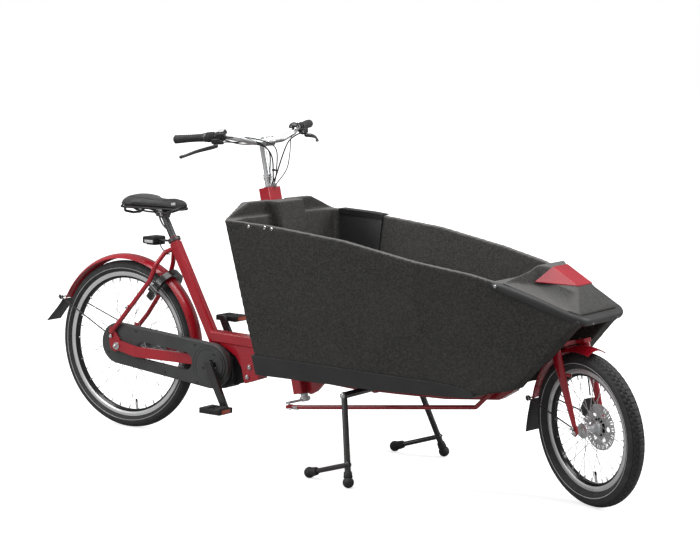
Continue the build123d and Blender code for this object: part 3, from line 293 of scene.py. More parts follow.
FLAP = rubber("flap_rubber", "rubber", (0.030, 0.030, 0.031), 0.55, 500, 0.00015)
ALUMINIUM = metal("brushed_aluminium", "bright_aluminium", (0.93, 0.94, 0.95), 0.34, metallic=0.85)
DARK_ALUMINIUM = metal("dark_aluminium", "bright_aluminium", (0.16, 0.16, 0.165), 0.36)
STEEL = metal("polished_steel", "stainless", (0.93, 0.93, 0.94), 0.26, (300, 300, 300), 0.85)
CHROME = metal("chrome", "chrome", (0.96, 0.96, 0.97), 0.10, (60, 60, 60), 1.0, 0.08)
CHAIN_STEEL = metal("oiled_chain", "chain_steel", (0.34, 0.32, 0.29), 0.34, (200, 200, 200), 1.0, 0.6)
LEATHER = leather("saddle_cover", "saddle_cover", (0.022, 0.022, 0.023))
PALE_PATCH = leather("pale_patch", "saddle_cover", (0.62, 0.62, 0.61))
RED_LENS = lens("red_lens", "red_lens", (0.55, 0.006, 0.008))
CLEAR_LENS = lens("clear_lens", "red_lens", (0.62, 0.62, 0.62))
AMBER_LENS = lens("amber_lens", "red_lens", (0.60, 0.075, 0.018))
# painted highlight: a pale band that stands in for the light on the rim's flange
PAINTED_HIGHLIGHT_BAND = plastic("painted_highlight_band", "tyre", (0.80, 0.80, 0.80), 0.35, 1800, 0.00004)


# --- mesh helpers ---------------------------------------------------------------------------------
UP = Vector((0, 0, 1))
Y_AXIS = Vector((0, 1, 0))
SIDES = ((-1, "right"), (1, "left"))


def circle(side, up, count):
    """Unit vectors evenly round the circle that side and up span."""
    return [side * math.cos(t) + up * math.sin(t) for t in (2 * math.pi * i / count for i in range(count))]


def puck(r, half, cut, cut_along=None, bore=0.0):
    """Profile of a disc or ring of radius r with its outer edges cut off."""
    flat = half - (cut if cut_along is None else cut_along)
    return [(bore, -half), (r - cut, -half), (r, -flat), (r, flat), (r - cut, half), (bore, half)]


def placed(name, data):
    """New object that shows the data, linked into the scene."""
    obj = bpy.data.objects.new(name, data)
    bpy.context.scene.collection.objects.link(obj)
    return obj


def baked(obj):
    """Fresh smooth-shaded mesh of obj with its modifiers applied; the modifiers are removed."""
    bpy.context.view_layer.update()
    shape = bpy.data.meshes.new_from_object(obj.evaluated_get(bpy.context.evaluated_depsgraph_get()))
    obj.modifiers.clear()
    for face in shape.polygons:
        face.use_smooth = True
    return shape


class Piece:
    """Collects shapes with their materials, then becomes one object that rides on a body."""

    def __init__(self, *materials):
        self.materials = materials
        self.bm = bmesh.new()

    def grid(self, rows, material=0, closed_rows=False, caps=False):
        """Skin over rows of points; every row has the same number of points."""
        made = [[self.bm.verts.new(p) for p in row] for row in rows]
        count, width = len(made), len(made[0])
        faces = []
        for i in range(count if closed_rows else count - 1):
            a, b = made[i], made[(i + 1) % count]
            for j in range(width):
                k = (j + 1) % width
                faces.append(self.bm.faces.new((a[j], a[k], b[k], b[j])))
        if caps:
            faces.append(self.bm.faces.new(list(reversed(made[0]))))
            faces.append(self.bm.faces.new(made[-1]))
        for face in faces:
            face.material_index = material
            face.smooth = True
        if caps:
            faces[-1].smooth = faces[-2].smooth = False
        return self

    def lathe(self, profile, origin, axis, segments, material=0):
        """Turned shape: profile of (radius, distance along axis), closed on itself."""
        axis = Vector(axis).normalized()
        side = axis.orthogonal().normalized()
        up = axis.cross(side)
        rows = [[Vector(origin) + axis * y + out * r for r, y in profile]
                for out in circle(side, up, segments)]
        return self.grid(rows, material, closed_rows=True)

    def spindle(self, a, b, r, material=0, segments=24, chamfer=0.0008, r_end=None):
        """Bar from a to b with chamfered ends."""
        a, b = Vector(a), Vector(b)
        axis = (b - a).normalized()
        length = (b - a).length
        r_end = r if r_end is None else r_end
        stations = [(0.0, r - chamfer), (chamfer, r), (length - chamfer, r_end), (length, r_end - chamfer)]
        side = axis.orthogonal().normalized()
        up = axis.cross(side)
        round_it = circle(side, up, segments)
        rows = [[a + axis * along + out * radius for out in round_it] for along, radius in stations]
        return self.grid(rows, material, caps=True)

    def tube(self, points, radius, material=0, sides=12, steps=6, closed=False):
        """Round bar along a smooth curve; radius may be one number or one per point."""
        radii = radius if isinstance(radius, (list, tuple)) else [radius] * len(points)
        line, sizes = smooth_line([Vector(p) for p in points], radii, steps, closed)
        count = len(line)
        rows, side = [], None
        for i, point in enumerate(line):
            ahead = line[(i + 1) % count] if closed or i < count - 1 else point
            behind = line[i - 1] if closed or i else point
            axis = (ahead - behind).normalized()
            side = axis.orthogonal() if side is None else side - axis * side.dot(axis)
            side.normalize()
            up = axis.cross(side)
            rows.append([point + out * sizes[i] for out in circle(side, up, sides)])
        return self.grid(rows, material, closed_rows=closed, caps=not closed)

    def block(self, centre, size, material=0, turn=None, bevel=0.0015, segments=2):
        """Bevelled block; turn is a rotation matrix about its centre."""
        part = bmesh.new()
        bmesh.ops.create_cube(part, size=1.0)
        bmesh.ops.scale(part, vec=size, verts=part.verts)
        bmesh.ops.bevel(part, geom=part.edges[:], offset=min(bevel, 0.45 * min(size)), segments=segments,
                        profile=0.6, affect="EDGES")
        where = Matrix.Translation(centre) @ (turn.to_4x4() if turn else Matrix.Identity(4))
        return self.take(part, where, material)

    def take(self, part, where, material=0):
        bmesh.ops.transform(part, matrix=where, verts=part.verts)
        for face in part.faces:
            face.material_index = material
            face.smooth = True
        made = bpy.data.meshes.new("part")
        part.to_mesh(made)
        part.free()
        self.bm.from_mesh(made)
        bpy.data.meshes.remove(made)
        return self

    def bolt(self, centre, axis, r=0.004, material=0, head=0.004):
        """Button head with a socket, on a washer; centre is on the surface it clamps."""
        axis = Vector(axis).normalized()
        centre = Vector(centre)
        self.lathe([(0.0, 0.0), (r * 1.7, 0.0), (r * 1.7, 0.0008), (r * 1.25, 0.0012), (r * 1.2, head * 0.6),
                    (r * 0.9, head), (r * 0.5, head), (r * 0.45, head * 0.45), (0.0, head * 0.45)],
                   centre, axis, 20, material)
        return self

    def done(self, name, body, turn=None, replaces=(), slot=None, sharp=35.0):
        bmesh.ops.remove_doubles(self.bm, verts=self.bm.verts, dist=1e-7)
        bmesh.ops.recalc_face_normals(self.bm, faces=self.bm.faces[:])
        if turn is not None:
            bmesh.ops.transform(self.bm, matrix=turn, verts=self.bm.verts)
        mesh = bpy.data.meshes.new(name)
        self.bm.to_mesh(mesh)
        self.bm.free()
        obj = placed(name, mesh)
        for material in self.materials:
            mesh.materials.append(material)
        mesh.set_sharp_from_angle(angle=math.radians(sharp))
        return settle(obj, body, replaces)


def settle(obj, body, replaces=()):
    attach(obj, body)
    if replaces:
        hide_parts(*replaces)
    return obj


def smooth_line(points, radii, steps, closed):
    """Catmull-Rom curve through the points, with the radii blended along it."""
    count = len(points)
    line, sizes = [], []
    for i in range(count if closed else count - 1):
        if closed:
            p0, p1, p2, p3 = (points[(i + k) % count] for k in (-1, 0, 1, 2))
        else:
            p1, p2 = points[i], points[i + 1]
            p0 = points[i - 1] if i else p1 * 2 - p2
            p3 = points[i + 2] if i + 2 < count else p2 * 2 - p1
        r1, r2 = radii[i], radii[(i + 1) % count]
        for k in range(steps):
            t = k / steps
            line.append(0.5 * ((2 * p1) + (p2 - p0) * t + (2 * p0 - 5 * p1 + 4 * p2 - p3) * t * t
                               + (3 * p1 - p0 - 3 * p2 + p3) * t ** 3))
            sizes.append(r1 + (r2 - r1) * t)
    if not closed:
        line.append(points[-1])
        sizes.append(radii[-1])
    return line, sizes


def dress(material, *names, bevel=0.0):
    """Give CAD nodes a finished material, and round their edges if bevel is given."""
    for name in names:
        obj = NODES[name]
        obj.data.materials.clear()
        obj.data.materials.append(material)
        if bevel:
            made = obj.modifiers.new("rounded", "BEVEL")
            made.width = bevel
            made.segments = 2
            made.limit_method = "ANGLE"
            made.angle_limit = math.radians(40)
            made.harden_normals = False


def copied(node, name, voxel, rounds, keep=1.0):
    """Fresh mesh with soft moulded edges, made from a CAD node's surface."""
    mesh = NODES[node].data.copy()
    mesh.name = name
    obj = placed(name, mesh)
    mesh.materials.clear()
    remesh = obj.modifiers.new("remesh", "REMESH")
    remesh.mode = "VOXEL"
    remesh.voxel_size = voxel
    remesh.use_smooth_shade = True
    smooth = obj.modifiers.new("smooth", "SMOOTH")
    smooth.factor = 0.5
    smooth.iterations = rounds
    if keep < 1.0:
        fewer = obj.modifiers.new("fewer", "DECIMATE")
        fewer.ratio = keep
    obj.data = baked(obj)
    return obj


# --- wheels ---------------------------------------------------------------------------------------
class Wheel:
    """Sizes of one wheel, read from the frame, with its axle built straight ahead."""

    def __init__(self, name, joint, turn, radius, width, bead, blocks, depth):
        self.name, self.turn, self.radius, self.width, self.bead = name, turn, radius, width, bead
        self.blocks, self.depth = blocks, depth
        self.rest_centre = Vector(JOINTS[joint]["pos_m"])
        self.centre = turn.inverted() @ self.rest_centre if turn else self.rest_centre
        self.body = name + "_wheel"

    def at(self, r, angle, y):
        return self.centre + Vector((r * math.cos(angle), y, r * math.sin(angle)))


REAR = Wheel("rear", "rear_wheel_spin", None, 0.329, 0.050, 0.2795, 118, 0.0016)
FRONT = Wheel("front", "front_wheel_spin", FORK_TURN, 0.265, 0.062, 0.203, 70, 0.0034)
SPOKES = 36


def tread(wheel, lateral, step):
    """Share of the tread depth that stands up at a lateral angle (degrees) and a step round the wheel."""
    side = abs(lateral)
    late = 4 if lateral > 0 else 0
    if side > 50:
        return 0.0
    if side < 15:
        return 0.0 if step % 8 == 0 else 1.0
    if 16.5 < side < 32:
        phase = (step + 4 + late) % 8
        return 0.0 if phase in (0, 1) else 1.0
    if side > 33.5:
        phase = (step + late) % 8
        return 0.0 if phase in (0, 1, 2) else 0.95
    return 0.0


def tyre(wheel):
    half = wheel.width / 2
    middle = wheel.radius - half
    edges = (14.4, 15.2, 16.2, 17.0, 31.5, 32.3, 33.3, 34.1, 48.5, 50.5)
    flank = (56, 64, 70, 73, 74, 75.5, 76.5, 78, 84, 88, 89, 90.5, 91.5, 96, 103, 109, 114)
    angles = (0, 7) + edges + flank
    lateral = [-a for a in reversed(angles[1:])] + list(angles)
    steps = wheel.blocks * 8
    piece = Piece(TYRE)
    rows = []
    for step in range(steps):
        turn = 2 * math.pi * step / steps
        row = []
        for angle in lateral:
            side = math.radians(angle)
            rib = 0.0005 if 73.5 < abs(angle) < 76 or 88.5 < abs(angle) < 91 else 0.0
            lift = half + rib - wheel.depth * (1 - tread(wheel, angle, step)) * (abs(angle) < 56)
            row.append(wheel.at(middle + lift * math.cos(side), turn, lift * math.sin(side)))
        for y in (0.0122, 0.0085, -0.0085, -0.0122):
            row.append(wheel.at(wheel.bead + (0.004 if abs(y) > 0.01 else 0.001), turn, y))
        rows.append(row)
    piece.grid(rows, closed_rows=True)
    piece.done(f"{wheel.name}_tyre_tread", wheel.body, wheel.turn, [f"{wheel.name}_tyre"], sharp=50)

    # pale band round the tyre next to the rim: a painted highlight of the rim's flange
    line = Piece(PAINTED_HIGHLIGHT_BAND)
    for sign in (-1, 1):
        band = []
        for angle, lift in ((98.0, 0.0), (98.4, 0.0005), (101.6, 0.0005), (102.0, 0.0), (100.0, -0.0008)):
            side = math.radians(angle)
            band.append((middle + (half + lift) * math.cos(side), sign * (half + lift) * math.sin(side)))
        line.lathe(band, wheel.centre, Y_AXIS, 180)
    line.done(f"{wheel.name}_tyre_painted_highlight", wheel.body, wheel.turn)


def wheel_details(wheel):
    """Spoke nipples, and the valve with its lock nut and cap."""
    piece = Piece(STEEL, BLACK_PLASTIC)
    for i in range(SPOKES):
        angle = 2 * math.pi * i / SPOKES
        side = (1 if i % 2 else -1) * 0.0025
        lean = (1 if (i // 2) % 2 else -1) * 0.0013
        foot = wheel.at(wheel.bead - 0.0195, angle, side + lean)
        tip = wheel.at(wheel.bead - 0.034, angle + (1 if (i // 2) % 2 else -1) * 0.012, side + lean)
        piece.spindle(foot, tip, 0.0024, 0, 8, 0.0005, 0.0019)
    valve = math.radians(-85) + math.pi / SPOKES
    foot, tip = wheel.at(wheel.bead - 0.020, valve, 0), wheel.at(wheel.bead - 0.047, valve, 0)
    cap = wheel.at(wheel.bead - 0.060, valve, 0)
    piece.spindle(foot, tip, 0.0040, 0, 14, 0.0006)
    nut, nut_end = wheel.at(wheel.bead - 0.0195, valve, 0), wheel.at(wheel.bead - 0.0225, valve, 0)
    piece.spindle(nut, nut_end, 0.0065, 0, 6)
    piece.spindle(tip, cap, 0.0046, 1, 10, 0.0012, 0.0040)
    piece.done(f"{wheel.name}_nipples_and_valve", wheel.body, wheel.turn)


def wheel_finish(wheel):
    rim = two_tone(f"{wheel.name}_rim_finish", "bright_aluminium", wheel.rest_centre, wheel.bead - 0.0105,
                   (0.018, 0.018, 0.019), (0.93, 0.93, 0.94), 0.16, 0.34, 0.3, 0.72)
    dress(rim, f"{wheel.name}_rim")
    dress(STEEL, f"{wheel.name}_spokes")


def wheels():
    for wheel in (REAR, FRONT):
        tyre(wheel)
        wheel_finish(wheel)
        wheel_details(wheel)
    hub = two_tone("rear_hub_finish", "bright_aluminium", REAR.rest_centre, 0.0455,
                   (0.86, 0.87, 0.88), (0.62, 0.63, 0.64), 0.28, 0.38, 0.9, 0.9)
    dress(hub, "rear_hub", "roller_brake")
    dress(ALUMINIUM, "front_hub")
    dress(CHAIN_STEEL, "chain", "rear_sprocket")
    rotor = two_tone("rotor_finish", "stainless", FRONT.rest_centre, 0.052,
                     (0.016, 0.016, 0.017), (0.93, 0.93, 0.94), 0.30, 0.26, 0.6, 0.8)
    dress(rotor, "brake_rotor")
    dress(CHROME, "rear_axle", "front_axle", "box_studs")
    dress(STEEL, "mount_bolts", "chainring")
    dress(DARK_ALUMINIUM, "brake_caliper", bevel=0.0012)


# --- frame ----------------------------------------------------------------------------------------
def rolled_edge(name, wheel, r, half_width, start, end, body):
    """Wire rolled into both edges of a mudguard."""
    piece = Piece(RED)
    angles = [math.radians(start + (end - start) * i / 24) for i in range(25)]
    for sign in (-1, 1):
        line = [wheel.at(r, angle, sign * half_width) for angle in angles]
        piece.tube(line, 0.0021, 0, 10, 3)
    piece.done(name, body, wheel.turn)


def stay_clips(wheel, body, r, angle, half_width, foot, foot_y):
    """Round clips that hold the mudguard's stays, and the bolts at their feet."""
    piece = Piece(BLACK_PLASTIC, CHROME)
    clip = wheel.at(r, math.radians(angle), 0)
    for sign in (-1, 1):
        end = Vector((clip.x, sign * half_width, clip.z))
        piece.lathe(puck(0.0095, 0.004, 0.001, 0.002), end, Y_AXIS, 24, 0)
        piece.lathe([(0.0080, 0.0038), (0.0098, 0.0038), (0.0104, 0.0048), (0.0098, 0.0058), (0.0080, 0.0058),
                     (0.0074, 0.0048)], end, Vector((0, sign, 0)), 24, 1)
        piece.bolt(Vector((foot.x, sign * foot_y, foot.z)), (0, sign, 0), 0.0045, 1)
    piece.done(f"{wheel.name}_stay_clips", body, wheel.turn)


def weld(piece, centre, axis, r, count, size=0.0022):
    """Ring of overlapping weld beads."""
    axis = Vector(axis).normalized()
    side = axis.orthogonal().normalized()
    up = axis.cross(side)
    points = [Vector(centre) + out * r for out in circle(side, up, count)]
    sizes = [size * (1.0 + 0.28 * (i % 2)) for i in range(count)]
    return piece.tube(points, sizes, 0, 8, 2, closed=True)


def frame_parts():
    dress(RED, "main_frame", "fork", "rear_mudguard", "front_mudguard", "steering_rod")
    dress(BLACK_COAT, "kickstand", "rear_guard_stays", "front_guard_stays", "crank_arms",
          "saddle_rails")
    dress(CASE, "chain_case", bevel=0.0018)
    dress(BLACK_PLASTIC, "motor_housing", "rear_light")
    dress(GLOSS_BLACK, "ring_lock", bevel=0.002)
    dress(FLAP, "rear_flap", "front_flap")
    dress(SOFT, "kickstand_feet")
    dress(DARK_ALUMINIUM, "seat_collar", "headset_cups", "seat_post")
    dress(ALUMINIUM, "steering_column", "stem", "handlebar")
    dress(RED_LENS, "rear_light_lens")
    dress(BLACK_PLASTIC, "side_panel", bevel=0.001)
    rolled_edge("rear_guard_edges", REAR, 0.3395, 0.0325, 4, 154.5, "frame")
    rolled_edge("front_guard_edges", FRONT, 0.2695, 0.0365, 80, 168, "fork")
    stay_clips(REAR, "frame", 0.361, 154, 0.036, P(-26, 0, 366), 0.0815)
    stay_clips(FRONT, "fork", 0.289, 168, 0.039, P(2034, 0, 280), 0.069)


def frame_details():
    """Welds, bolts and a lamp cable on the red frame."""
    welds = Piece(RED)
    low, high = P(898.9, 0, 0), Vector(JOINTS["steering_turn"]["axis"])
    for z in (0.2405, 0.9825):
        weld(welds, low + high * (z / high.z), high, 0.0245, 34, 0.0017)
    front = P(2031.1, 0, 0)
    for z in (0.5505, 0.6525):
        weld(welds, front + high * (z / high.z), high, 0.0225, 32, 0.0016)
    for sign in (-1, 1):
        weld(welds, P(203, sign * 25, 708), (0.75, -sign * 0.45, 0.48), 0.0096, 18, 0.0017)
        weld(welds, P(-25, sign * 77, 383), (0.67, 0, 0.74), 0.0094, 18, 0.0017)
        weld(welds, P(1180, sign * 41, 303), (0, 1, 0), 0.0180, 30, 0.0018)
        weld(welds, P(1180, sign * 29, 303), (0, 1, 0), 0.0184, 30, 0.0022)
    welds.done("frame_welds", "frame")

    bits = Piece(CHROME, BLACK_PLASTIC, BLACK_COAT)
    for x, z in ((610, 308), (600, 270)):
        bits.bolt(P(x, -30.1, z), (0, -1, 0), 0.0045, 0)
        bits.bolt(P(x, 36.1, z), (0, 1, 0), 0.0045, 0)
    for sign in (-1, 1):
        bits.bolt(P(60, sign * 91, 489), (-0.1, sign, -0.1), 0.004, 0)
    lamp = [P(152, -4, 742), P(168, -9, 722), P(196, -16, 705), P(214, -14, 700)]
    bits.tube(lamp, 0.0022, 1, 10, 6)
    bits.done("frame_bolts", "frame")


def lock_details():
    piece = Piece(CHROME, BLACK_PLASTIC, STEEL)
    angle = math.radians(53)
    centre = REAR.at(0.312, angle, 0)
    out = Vector((math.cos(angle), 0, math.sin(angle)))
    along = Vector((-math.sin(angle), 0, math.cos(angle)))
    barrel = centre + Vector((0, -0.064, 0)) - out * 0.020
    piece.lathe(puck(0.0115, 0.0185, 0.001), barrel, along, 28, 0)
    piece.block(barrel - along * 0.0205, (0.003, 0.011, 0.006), 1, bevel=0.0008)
    for s in (-1, 1):
        piece.bolt(centre + Vector((0, s * 0.060, 0)) - out * 0.012 - along * 0.0130, -along, 0.0035, 0)
    piece.tube([centre + Vector((0, -0.050, 0)) + out * 0.001, centre + Vector((0, -0.053, 0)) - out * 0.030,
                centre + Vector((0, -0.0545, 0)) - out * 0.045], 0.0042, 2, 14, 6)
    piece.done("lock_barrel_and_shackle", "frame")


def light_details():
    low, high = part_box("rear_light")
    middle = (low.z + high.z) / 2
    piece = Piece(CLEAR_LENS, BLACK_PLASTIC)
    for sign in (-1, 1):
        lens_at = Vector((low.x + 0.030, sign * (high.y - 0.0004), middle - 0.004))
        piece.block(lens_at, (0.040, 0.004, 0.011), 0, bevel=0.001)
    piece.block(Vector((low.x + 0.036, 0, low.z - 0.001)), (0.044, 0.060, 0.006), 1, bevel=0.002)
    piece.done("light_side_lenses", "frame")


# --- drive ----------------------------------------------------------------------------------------
BB = Vector(JOINTS["crank_spin"]["pos_m"])


def case_details():
    """Seam, ribs, round crank cover and screws of the chain case."""
    low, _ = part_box("chain_case")
    face = low.y
    piece = Piece(CASE, CHROME, BLACK_PLASTIC)
    out = Vector((0, -1, 0))
    start = P(452, face * 1000 + 9, 300)
    for r in (0.0790, 0.0665):
        piece.lathe([(r, -0.0004), (r + 0.0022, -0.0004), (r + 0.0019, 0.0011), (r + 0.0003, 0.0011)],
                    start, out, 96, 0)
    for angle in (78, 198, 318):
        t = math.radians(angle)
        spot = Vector((BB.x + 0.044 * math.cos(t), face + 0.0002, BB.z + 0.044 * math.sin(t)))
        piece.bolt(spot, out, 0.0030, 2, 0.002)
    for x, z in ((-47, 372), (-48, 300), (90, 395), (236, 252), (392, 230), (380, 374)):
        piece.bolt(P(x, face * 1000 + 9, z), out, 0.0026, 2, 0.0018)
    piece.done("case_ribs_and_screws", "frame")


def motor_details():
    """Cooling ribs round the motor's drum and the cable that leaves it for the beam."""
    centre = P(478, 0, 272)
    rib = ((0.0570, -0.0020), (0.0600, -0.0013), (0.0600, 0.0013), (0.0570, 0.0020))
    piece = Piece(BLACK_PLASTIC)
    for y in (-22, -11, 18, 27, 36, 45):
        rows = []
        for i in range(41):
            t = math.radians(-150 + 190 * i / 40)
            out = Vector((math.cos(t), 0, math.sin(t)))
            rows.append([centre + out * r + Vector((0, y / 1000 + dy, 0)) for r, dy in rib])
        piece.grid(rows, caps=True)
    piece.tube([P(506, 16, 345), P(512, 16, 368), P(508, 16, 390)], 0.004, 0, 14)
    piece.done("motor_ribs", "frame")


def crank_details():
    piece = Piece(CHROME, BLACK_PLASTIC)
    right = Vector(JOINTS["pedal_right_spin"]["pos_m"])
    left = Vector(JOINTS["pedal_left_spin"]["pos_m"])
    cap = [(0, 0), (0.0115, 0), (0.0115, 0.003), (0.0095, 0.0048), (0.0055, 0.0048), (0.005, 0.002),
           (0, 0.002)]
    for y, out in ((-0.0935, -1), (0.0935, 1)):
        piece.lathe(cap, Vector((BB.x, y, BB.z)), Vector((0, out, 0)), 28, 0)
    for end in (right, left):
        side = 1 if end.y > 0 else -1
        piece.lathe([(0, 0), (0.0085, 0), (0.0085, 0.0025), (0.0070, 0.0035), (0, 0.0035)],
                    Vector((end.x, side * 0.0965, end.z)), Vector((0, side, 0)), 24, 0)
    piece.done("crank_caps", "crank")


def pedal(name, joint):
    """Resin pedal with grip pads on both faces and amber reflectors front and back."""
    centre = Vector(JOINTS[joint]["pos_m"])
    side = 1 if centre.y > 0 else -1
    middle = Vector((centre.x, side * 0.148, centre.z))
    piece = Piece(BLACK_PLASTIC, SOFT, AMBER_LENS, CHROME)
    half_l, half_w = 0.048, 0.042

    def spot(dx, dy, dz):
        return middle + Vector((dx, side * dy, dz))

    for s in (-1, 1):
        piece.block(spot(s * (half_l - 0.0050), 0, 0), (0.010, 2 * half_w - 0.004, 0.021), 0, bevel=0.0022)
        piece.block(spot(0, s * (half_w - 0.005), 0), (2 * half_l - 0.006, 0.010, 0.020), 0, bevel=0.0030)
        piece.block(spot(s * (half_l - 0.0006), 0, 0), (0.0034, 0.050, 0.014), 2, bevel=0.0008)
        for up in (-1, 1):
            piece.block(spot(s * 0.0265, 0, up * 0.0085), (0.023, 0.066, 0.0055), 1, bevel=0.0014)
            for k in range(7):
                piece.block(spot(s * 0.0265, -0.027 + 0.009 * k, up * 0.0116), (0.021, 0.0042, 0.0016), 1,
                            bevel=0.0005)
    a, b = spot(0, -0.040, 0), spot(0, 0.038, 0)
    piece.spindle(a, b, 0.0112, 0, 28, 0.0015)
    cap = [(0, 0), (0.0085, 0), (0.0085, 0.0015), (0.0065, 0.003), (0, 0.003)]
    piece.lathe(cap, b, Vector((0, side, 0)), 24, 3)
    piece.done(f"{name}_body", name, None, [name], "black_plastic")


# --- saddle ---------------------------------------------------------------------------------------
SADDLE_STATIONS = [  # distance from the rear axle, half width, top, bottom of the skirt (mm)
    (8, 46, 909, 884), (14, 68, 915, 880), (28, 90, 920, 878), (50, 101, 922, 878), (80, 100, 919, 878),
    (108, 84, 915, 877), (134, 62, 911, 875), (160, 44, 909, 874), (186, 33, 908.5, 874), (212, 27, 911, 874),
    (238, 23.5, 914, 874), (260, 20.5, 913.5, 875), (276, 16, 910, 877), (285, 9, 904, 882)]


def saddle_ring(x, half, top, bottom, count=28):
    """Cross-section: crowned top, rolled shoulder, tucked skirt, hollow underside."""
    ring = []
    crown = min(7.0, 0.10 * half + 1.5)
    for j in range(count):
        t = 2 * math.pi * j / count
        c, s = math.cos(t), math.sin(t)
        y = half * math.copysign(abs(c) ** 0.72, c)
        if s >= 0:
            z = (top - crown) * s ** 0.62 + (bottom + 6) * (1 - s ** 0.62) + crown * (1 - (y / half) ** 2) * s
        else:
            z = bottom + 6 - 6 * (-s) ** 0.7
            y *= 0.94
        ring.append(P(x, y, z))
    return ring


PAD_PRESSURE = 4.0
PAD_FRAMES = 20              # frames of cloth simulation


def cloth_pad(obj, voxel, cap):
    """Blow a closed form up a little as padded cloth, with each point's travel capped."""
    remesh = obj.modifiers.new("remesh", "REMESH")
    remesh.mode = "VOXEL"
    remesh.voxel_size = voxel
    shape = baked(obj)
    obj.data = shape
    before = [v.co.copy() for v in shape.vertices]
    cloth = obj.modifiers.new("cloth", "CLOTH")
    cloth.settings.use_pressure = True
    cloth.settings.uniform_pressure_force = PAD_PRESSURE
    cloth.settings.effector_weights.gravity = 0.0
    cloth.settings.quality = 6
    cloth.settings.mass = 0.4
    cloth.settings.bending_stiffness = 4.0
    for number in range(1, PAD_FRAMES + 1):
        bpy.context.scene.frame_set(number)
    swollen = baked(obj)
    bpy.context.scene.frame_set(1)
    for vertex, new, old in zip(shape.vertices, swollen.vertices, before):
        travel = new.co - old
        vertex.co = old + travel * min(1.0, cap / max(travel.length, 1e-9))
    bpy.data.meshes.remove(swollen)
    smooth = obj.modifiers.new("smooth", "SMOOTH")
    smooth.factor = 0.5
    smooth.iterations = 5
    finer = obj.modifiers.new("finer", "SUBSURF")
    finer.levels = finer.render_levels = 1
    obj.data = baked(obj)


def lay_on(obj, points, above=0.0):
    """The points moved to the surface of obj along the shortest way."""
    laid = []
    for point in points:
        _, spot, normal, _ = obj.closest_point_on_mesh(point)
        laid.append(spot + normal * above)
    return laid


def saddle():
    form = Piece(LEATHER)
    rows = [saddle_ring(x, half - 4, top - 3, bottom) for x, half, top, bottom in SADDLE_STATIONS]
    form.grid(rows, caps=True)
    cover = form.done("saddle_cover", "seat", None, ["saddle"], "saddle_cover", sharp=180)
    cloth_pad(cover, 0.0045, 0.006)
    cover.data.materials.clear()
    cover.data.materials.append(LEATHER)

    trim = Piece(LEATHER, PALE_PATCH, BLACK_PLASTIC)
    for sign in (-1, 1):
        edge = [P(x, sign * (half + 2), bottom + 9 if x > 20 else bottom + 12)
                for x, half, top, bottom in SADDLE_STATIONS]
        trim.tube(lay_on(cover, edge, 0.0004), 0.0013, 0, 8, 5)
        seam = [P(x, sign * half * 0.62, top + 4) for x, half, top, bottom in SADDLE_STATIONS[2:-1]]
        trim.tube(lay_on(cover, seam, 0.0), 0.0009, 0, 8, 5)
        stitches = smooth_line(lay_on(cover, [p + Vector((0, sign * 0.0035, 0)) for p in seam], 0.0002),
                               [0] * len(seam), 9, False)[0]
        for a, b in zip(stitches[::2], stitches[1::2]):
            trim.tube([a, (a + b) / 2, b], 0.00045, 0, 6, 2)
        shell = [P(x, sign * (half - 8), bottom - 1) for x, half, top, bottom in SADDLE_STATIONS[1:]]
        trim.tube(shell, 0.004, 2, 10, 4)
    trim.done("saddle_piping", "seat", slot="saddle_cover")

    patch = Piece(PALE_PATCH)
    for sign in (-1, 1):
        rows = []
        for i in range(6):
            x = 219 + 3.6 * i
            rows.append(lay_on(cover, [P(x + 0.5 * k, sign * 34, 904 - 3.2 * k) for k in range(5)], 0.0005))
        thick = [row + [p - Vector((0, sign * 0.0012, 0)) for p in reversed(row)] for row in rows]
        patch.grid(thick, caps=True)
    patch.done("saddle_side_patches", "seat", slot="saddle_cover")


def seat_details():
    """Clamp bolts, rail sockets and the collar's cross bolt."""
    piece = Piece(DARK_ALUMINIUM, CHROME, BLACK_PLASTIC)
    head = P(166, 0, 858)
    piece.block(head, (0.046, 0.050, 0.010), 0, bevel=0.003)
    piece.block(P(174, 0, 849), (0.034, 0.034, 0.024), 0, bevel=0.006)
    for s in (-1, 1):
        piece.lathe(puck(0.0075, 0.019, 0.0007, 0.001),
                    head + Vector((0, s * 0.022, 0.0005)), (1, 0, 0), 20, 0)
        piece.bolt(head + Vector((0.012, s * 0.0252, -0.006)), (0, s, 0), 0.0042, 1)
    piece.block(P(255, 0, 881), (0.022, 0.034, 0.010), 2, bevel=0.003)
    for s in (-1, 1):
        piece.block(P(36, s * 54, 884), (0.020, 0.022, 0.012), 2, bevel=0.003)
    piece.done("saddle_clamp", "seat")


# --- steering -------------------------------------------------------------------------------------
GRIP_IN, GRIP_TIP = P(592, 192, 1185.6), P(500, 284, 1180)


def grip_point(share, side, lift=0.0, ahead=0.0):
    """Point on a grip's axis; lift is up and ahead is square to the grip, towards the front, in mm."""
    point = GRIP_IN.lerp(GRIP_TIP, share) + Vector((0.7, 0.7, 0)) * ahead / 1000 + Vector((0, 0, lift / 1000))
    return Vector((point.x, side * point.y, point.z))


def grip_axis(side):
    return (grip_point(1, side) - grip_point(0, side)).normalized()


